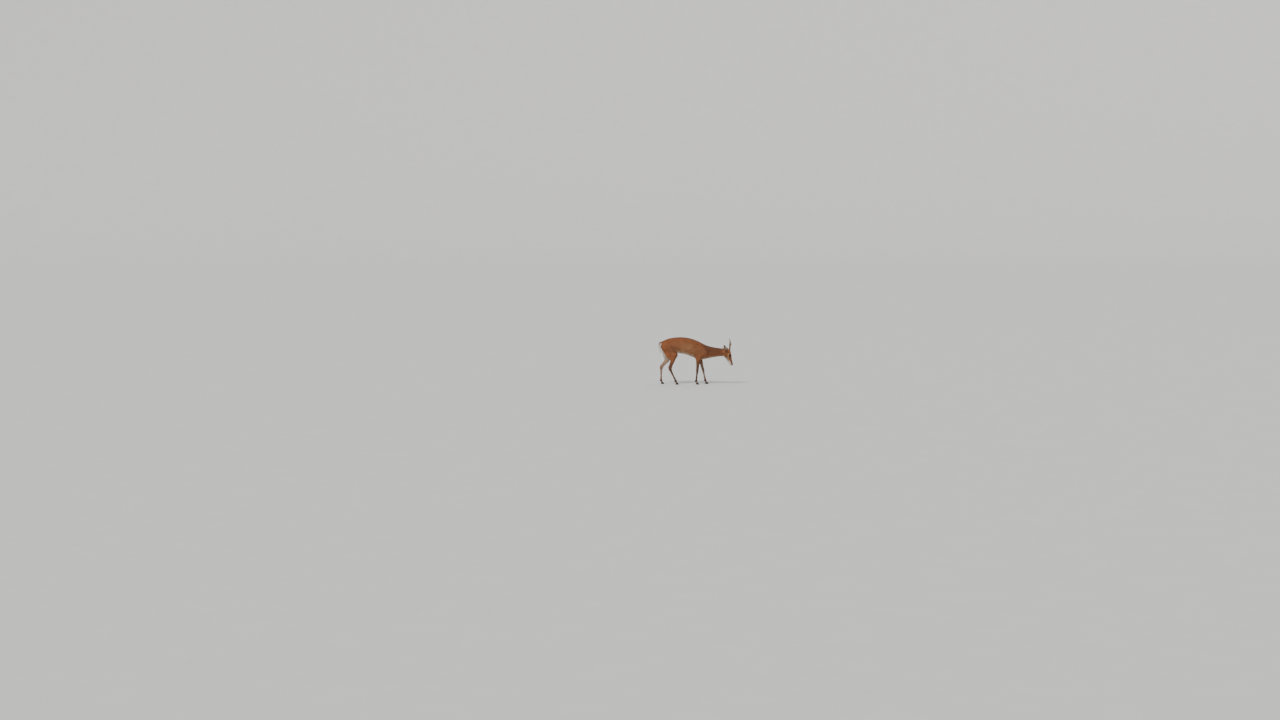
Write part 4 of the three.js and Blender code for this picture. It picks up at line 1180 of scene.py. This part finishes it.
def grow(name, root, normal, flow, length, width, height, tint, place, seed, form=None):
    """Tufts of five points, which may follow a form. place holds two unwrap coordinates of each root"""
    rng = np.random.default_rng(seed)
    count = len(root)
    length, width, height = (np.broadcast_to(v, count)[:, None] for v in (length, width, height))
    length = length * rng.uniform(0.75, 1.2, (count, 1))
    flow = unit(flow + rng.normal(0, 0.13, (count, 1)) * np.cross(normal, flow))
    side = around(rng.normal(0, 0.3, count), np.cross(normal, flow), normal) * width
    height = height * rng.uniform(0.55, 1.15, (count, 1))
    middle = root + MIDDLE_LENGTH * length * flow + MIDDLE_HEIGHT * height * normal
    tip = root + length * flow + height * normal
    if form is not None:
        middle -= (form(middle)[:, None] - MIDDLE_HEIGHT * height) * normal
        tip -= (form(tip)[:, None] - height) * normal
    base, half = root - 0.5 * normal, side * MIDDLE_WIDTH
    points = np.stack([base - side / 2, base + side / 2, middle + half, middle - half, tip], 1)
    first = 5 * np.arange(count)[:, None]
    faces = [first + (0, 1, 2, 3), first + (3, 2, 4)]
    mesh = new_mesh(name, points.reshape(-1, 3), *faces)
    shade = rng.normal(1, 0.11, (count, 1)).clip(0.7, 1.35)
    # Each tuft's tone varies at random, and along it painted shade darkens the root and painted light
    # brightens the tip
    set_colours(mesh, ((tint * shade)[:, None] * TUFT_PAINTED_SHADING[:, None]).reshape(-1, 3))
    unwrap = (place[:, None] + TUFT_UNWRAP).reshape(-1, 2)
    corners = np.concatenate([group.ravel() for group in faces])
    layer = mesh.uv_layers.new(name="OFBake")
    layer.data.foreach_set("uv", unwrap[corners].astype(np.float32).ravel())
    return new_object(mesh, COAT)


def spread(first, second):
    """Two coordinates of an unwrap, brought into the square"""
    return np.stack([0.01 + 0.98 * (v - v.min()) / max(np.ptp(v), 1e-6) for v in (first, second)], 1)


def scatter(points, triangles, density, seed):
    """Random places on triangles: which triangle, and the share of each corner"""
    a, b, c = (points[triangles[:, i]] for i in range(3))
    area = np.linalg.norm(np.cross(b - a, c - a), axis=1) / 2
    weight = np.cumsum(area * density)
    rng = np.random.default_rng(seed)
    count = int(weight[-1])
    picked = np.searchsorted(weight, (np.arange(count) + rng.random(count)) * weight[-1] / count)
    picked = picked.clip(0, len(triangles) - 1)
    u, v = rng.random((2, count))
    over = u + v > 1
    u[over], v[over] = 1 - u[over], 1 - v[over]
    return triangles[picked], np.stack([1 - u - v, u, v], 1)


def is_bare(p):
    """Whether no hair grows: nose, edge of the lips, eyes, antlers and hooves"""
    at, up, across = in_head(p)
    stalk = (p - head_point(*(PEDICLE * (1, 1, 0)))) @ head_way(*PEDICLE_AIM[:2], 0)
    bare = on_nose(at, up, np.abs(across)) > 0.3
    for side in SIDES.values():
        bare |= by_eye(p, side, 1.3, 26)
    bare |= (np.abs(up - mouth_line(at)) < 2) & (at > MOUTH_CORNER)
    bare |= (stalk > PEDICLE_LENGTH - 1) & (up > 30)
    return bare | (p[:, 2] < CORONET_HEIGHT + 1)


def coat_parts(p, head):
    """The coat's pieces: name, which tufts are in it and two coordinates for its unwrap"""
    x, y, z = p.T
    at, up, across = in_head(p)
    spine = (along(TRUNK, x, 1) + along(TRUNK, x, 2)) / 2
    round_trunk = np.arctan2(y, z - spine)
    for name, side in SIDES.items():
        yield f"head_{name}", (head > 0.5) & (side * across > 0), at, np.arctan2(across, up + 12)
    neck = (head <= 0.5) & (x > 262) & (z > 290)
    yield "neck", neck, x, round_trunk
    rest = (head <= 0.5) & ~neck
    legs = rest & (z < np.where(x > 50, 330, 400))
    for name in STANCE:
        part = legs & ((x > 50) == name.startswith("front")) & (np.sign(y) == LEG_SIDE[name])
        leg_z, leg_x = np.array(sorted((j[2], j[0]) for j in LIMBS[name][0])).T
        yield name, part, z, np.arctan2(x - np.interp(z, leg_z, leg_x), y - LEG_POINTS[name][-1][1])
        rest = rest & ~part
    ends = np.quantile(x[rest], [0, 0.25, 0.5, 0.75, 1])
    ends[-1] += 1
    for i, (start, end) in enumerate(zip(ends, ends[1:])):
        yield f"trunk_{i + 1}", rest & (x >= start) & (x < end), x, round_trunk


# Tufts on each square millimetre: over the body, on the lower legs and on the head
BODY_DENSITY, LEG_DENSITY, HEAD_DENSITY = 0.63, 0.98, 1.2
# Their length and width on the body, the lower legs, the back of the head and the muzzle
TUFT_LENGTHS = (11.5, 5, 6.5, 3.2)
TUFT_WIDTHS = (1.1, 0.75, 0.85, 0.55)
TUFT_LIFT = 0.56


def coat_on_skin():
    points = points_of(skin.data)
    skin.data.calc_loop_triangles()
    triangles = read(skin.data.loop_triangles, "vertices", np.int32)
    middle = points[triangles].mean(1)
    density = mix(BODY_DENSITY, LEG_DENSITY, smooth(middle[:, 2], 300, 150))
    density = mix(density, HEAD_DENSITY, head_share(middle))
    corners, share = scatter(points, triangles, density, 21)
    root = (points[corners] * share[..., None]).sum(1)
    normal = unit((skin_normals[corners] * share[..., None]).sum(1))
    keep = ~is_bare(root)
    root, normal = root[keep], normal[keep]
    head = head_share(root)
    x, y, z = root.T
    lower, front = smooth(z, 330, 170), smooth(in_head(root)[0], 20, 120)
    length, width = (
        mix(mix(body, leg, lower), mix(poll, muzzle, front), head)
        for body, leg, poll, muzzle in (TUFT_LENGTHS, TUFT_WIDTHS)
    )
    length *= 1 + 0.35 * smooth(-normal[:, 2], 0.4, 0.9) * (1 - lower) * (1 - head)
    length *= 1 + 0.9 * bell(x, -274, 16) * bell(y, 0, 16) * bell(z, 532, 18)
    height = TUFT_LIFT * coat_depth(root) * (1 + 0.12 * wave(root, 24, 8))
    flow = lie_of_coat(root, normal)
    tint = markings(root, normal) * (1 + 0.09 * wave(root, 9, 5) + 0.07 * wave(root, 40, 6))[:, None]
    for seed, (name, part, first, second) in enumerate(coat_parts(root, head), 100):
        forms = (v[part] for v in (root, normal, flow, length, width, height, tint))
        tufts = grow(f"coat_{name}", *forms, spread(first[part], second[part]), seed, skin_field)
        finish_piece(tufts, "coat")


coat_on_skin()

# Lashes along each upper lid, and stiff hairs on the lips and chin
LASHES, WHISKERS = 46, 44


def make_bristles(name, side):
    aim, line, rise = eye_axes(side)
    turn = np.linspace(0.12, 0.9, LASHES) * math.pi
    edge = aim + 0.97 * around(turn, LID_ALONG * line, LID_ACROSS * rise)
    root = eye_centre(side) + (EYE_RADIUS + 1) * unit(edge)
    flow = unit(0.75 * aim + 0.45 * rise + 0.5 * np.cos(turn)[:, None] * line)
    length = mix(5, 9, np.sin(turn))
    lashes = grow(f"lashes_{name}", root, rise, flow, length, 0.5, 2, STRIPE, spread(turn, turn), 91)
    rng = np.random.default_rng(92)
    at = rng.uniform(178, 207, WHISKERS)
    on_lip = np.arange(WHISKERS) % 4 > 0
    up = np.where(on_lip, rng.uniform(-11, -1, WHISKERS), rng.uniform(-26, -20, WHISKERS))
    root = settle(skin_field, head_point(at, up, 24.0 * side), 4, 8)
    normal = unit(slope(skin_field, root))
    flow = unit(normal + head_way(-0.5, -0.45, 0) + rng.normal(0, 0.12, (WHISKERS, 3)))
    length, dark = rng.uniform(9, 27, WHISKERS), mix(STRIPE, UMBER, 0.4)
    whiskers = grow(f"whiskers_{name}", root, -HEAD_TOP, flow, length, 0.34, 2.5, dark, spread(at, up), 93)
    finish_piece(merged(f"bristles_{name}", [lashes, whiskers]), "coat")


for name, side in SIDES.items():
    make_bristles(name, side)

# Short hair over the back of each ear and long pale hair in its cup
EAR_TUFTS, EAR_LINING_TUFTS = 12600, 5600


def coat_on_ear(name, side):
    rng = np.random.default_rng(60 + side)
    shell = make_ear(name, side)
    step = 0.02
    parts = []
    for lining in (False, True):
        count = EAR_LINING_TUFTS if lining else EAR_TUFTS
        t = rng.uniform(0.06 if lining else 0, 0.99, count)
        share = rng.uniform(-1, 1, count)
        if lining:
            share = np.sign(share) * (1 - 0.75 * rng.random(count) ** 1.6)
        depth = EAR_SKIN + EAR_THICK * lining
        root = ear_point(t, share, depth, side)
        forward = ear_point(np.minimum(t + step, 1), share, depth, side)
        forward -= ear_point(np.maximum(t - step, 0), share, depth, side)
        sideways = ear_point(t, share + step, depth, side) - ear_point(t, share - step, depth, side)
        normal = unit(np.cross(sideways, forward))
        hub = ear_point(t, 0, along(EAR_SLICES, t, 1), side)
        normal[(dot(normal, root - hub) > 0) == lining] *= -1
        flow = unit(forward)
        if lining:
            flow = unit(flow - 0.45 * unit(sideways) * np.sign(share)[:, None])
            tint = mix(BUFF, WHITE, rng.random((count, 1)))
            length, width, height = mix(6.5, 11, rng.random(count)), 0.4, 2.2
        else:
            tint = mix(EAR_BACK, FACE, 0.75 * smooth(t, 0.32, 0.02)[:, None])
            tint = mix(tint, STRIPE, 0.45 * smooth(np.abs(share), 0.8, 1)[:, None])
            length, width, height = mix(6.2, 3.4, smooth(t, 0, 0.5)), 0.85, 0.6
        length = np.minimum(length, EAR_LENGTH * (1.03 - t))
        place = spread(t, share)
        parts.append(grow(f"ear_{name}_{lining}", root, normal, flow, length, width, height, tint, place, 70))
    finish_piece(shell, "dark_coat", f"ear_{name}")
    finish_piece(merged(f"ear_coat_{name}", parts), "dark_coat")


for name, side in SIDES.items():
    coat_on_ear(name, side)


# Tail: chestnut down its back, white at the sides and below, with a long fringe.
# The stations are x, z, half the width and half the thickness
TAIL = np.array([
    (-262, 531, 9, 9),
    (-284, 514, 11, 9),
    (-294, 484, 11, 8.5),
    (-295, 448, 10, 7.5),
    (-289, 420, 7, 6),
], float)
TAIL_STEPS = 40
TAIL_TUFTS = 16000


def make_tail():
    path, way = curve([(x, 0, z) for x, z, _, _ in TAIL], TAIL_STEPS)
    last = TAIL_STEPS - 1
    steps, stations = np.arange(TAIL_STEPS), np.linspace(0, last, len(TAIL))
    wide, thick = (np.interp(steps, stations, TAIL[:, c]) for c in (2, 3))
    back = np.stack([way[:, 2], np.zeros(TAIL_STEPS), -way[:, 0]], 1)
    back *= np.sign(-back[:, :1])

    def surface(i, angle, inset):
        """Points at steps along the tail and at angles from its back, inside its outline"""
        low = np.clip(i.astype(int), 0, last - 1)
        part = (i - low)[..., None]
        centre = mix(path[low], path[low + 1], part)
        outward = mix(back[low], back[low + 1], part)
        out_of_rump = mix(0.3, 1, smooth(i / last, 0, 0.22))
        deep = (np.interp(i, steps, thick) * out_of_rump - inset) * np.cos(angle)
        across = (np.interp(i, steps, wide) * out_of_rump - inset * 1.6) * np.sin(angle)
        return centre + deep[..., None] * outward + across[..., None] * HEAD_OUT

    turn = turns(40)
    core = surface(0.98 * steps[:, None], turn[None], 1.6)
    colours = mix(WHITE, RUSSET, smooth(np.cos(turn), 0.25, 0.75)[:, None])
    finish_piece(loft("tail_core", core, colours, SKIN), "white_hair", "tail")
    rng = np.random.default_rng(81)
    i = last * rng.uniform(0, 1, TAIL_TUFTS) ** 1.1
    angle = rng.uniform(-math.pi, math.pi, TAIL_TUFTS)
    root = surface(i, angle, 2)
    low = np.clip(i.astype(int), 0, last - 1)
    share = i / last
    outward = unit(around(angle, back[low], HEAD_OUT))
    fringe = smooth(np.abs(np.sin(angle)), 0.35, 0.95)
    leave = mix(0.1, 0.48, fringe) * mix(1, 0.4, share) * rng.uniform(0.6, 1.15, TAIL_TUFTS)
    splay = outward - 0.55 * dot(outward, back[low])[:, None] * back[low]
    flow = unit(way[low] + leave[:, None] * splay)
    length = mix(15, 36, fringe) * mix(1, 1.15, share) * mix(0.7, 1, smooth(share, 0, 0.25))
    white_from = mix(-0.6, 0.4, smooth(share, 0.05, 0.4))
    tint = mix(WHITE, mix(RUSSET, UMBER, 0.4), smooth(np.cos(angle), white_from, white_from + 0.35)[:, None])
    tint = mix(tint, WHITE, 0.8 * smooth(share, 0.85, 1)[:, None])
    height = mix(0.8, 1.4, fringe)
    tufts = grow("tail_coat", root, outward, flow, length, 1.0, height, tint, spread(i, angle), 82)
    finish_piece(tufts, "white_hair")


make_tail()

# Floor, soft light and the photograph's camera
PHOTO_WIDTH, PHOTO_HEIGHT = 1280, 720
MM_PER_PIXEL = 12.3
PHOTO_ORIGIN_X, PHOTO_GROUND_Y = 684, 384.3
CAMERA_RISE = math.radians(4)
FIELD_OF_VIEW = math.radians(30)
FLOOR_RADIUS, SWEEP = 45, 35
# Each lamp's strength, how wide its light is and how it is turned, in degrees
LAMPS = {"key": (2.6, 22, (42, 0, -28)), "fill": (0.7, 60, (60, 0, 150))}


def make_stage():
    """A round floor that curves up far away, a pale world and two lamps"""
    material = plain_material("floor", Roughness=0.85, Specular_IOR_Level=0.2)
    tree = material.node_tree
    pale = add_node(tree, "ShaderNodeRGB")
    pale.outputs[0].default_value = (0.62, 0.61, 0.59, 1)
    tint = shaded(tree, pale.outputs[0], grain(tree, 3), 0.98, 1.02)
    tree.links.new(tint, shader_of(tree).inputs["Base Color"])
    rise = np.linspace(0, math.pi / 2, 24)
    reach = np.concatenate([[0.5, 5, 20], FLOOR_RADIUS + SWEEP * np.sin(rise)])
    height = np.concatenate([[0, 0, 0], SWEEP * (1 - np.cos(rise))])
    points = [(r * math.cos(a), r * math.sin(a), h) for r, h in zip(reach, height) for a in turns(128)]
    mesh = bpy.data.meshes.new("floor")
    mesh.from_pydata(points, [], [list(range(128)), *grid_faces(len(reach), 128)[:, ::-1].tolist()])
    mesh.polygons.foreach_set("use_smooth", np.ones(len(mesh.polygons), bool))
    new_object(mesh, material)
    world = bpy.data.worlds.new("studio")
    world.use_nodes = True
    world.node_tree.nodes["Background"].inputs["Color"].default_value = (0.82, 0.84, 0.87, 1)
    world.node_tree.nodes["Background"].inputs["Strength"].default_value = 0.75
    bpy.context.scene.world = world
    for name, (energy, angle, turn) in LAMPS.items():
        lamp = bpy.data.lights.new(name, "SUN")
        lamp.energy = energy
        lamp.angle = math.radians(angle)
        light = bpy.data.objects.new(name, lamp)
        light.rotation_euler = [math.radians(a) for a in turn]
        bpy.context.scene.collection.objects.link(light)


def make_camera():
    focal = PHOTO_WIDTH / 2 / math.tan(FIELD_OF_VIEW / 2)
    distance = focal * MM_PER_PIXEL / 1000
    target = Vector(metres((
        (PHOTO_WIDTH / 2 - PHOTO_ORIGIN_X) * MM_PER_PIXEL,
        0,
        (PHOTO_GROUND_Y - PHOTO_HEIGHT / 2) * MM_PER_PIXEL,
    )))
    back = Vector((0, -math.cos(CAMERA_RISE), math.sin(CAMERA_RISE)))
    lens = bpy.data.cameras.new("camera")
    lens.sensor_width = 36
    lens.lens = lens.sensor_width / 2 / math.tan(FIELD_OF_VIEW / 2)
    lens.clip_end = 40 * distance
    camera = bpy.data.objects.new("camera", lens)
    camera.location = target + back * distance
    camera.rotation_mode = "QUATERNION"
    camera.rotation_quaternion = (-back).to_track_quat("-Z", "Y")
    bpy.context.scene.collection.objects.link(camera)
    bpy.context.scene.camera = camera


make_stage()
make_camera()
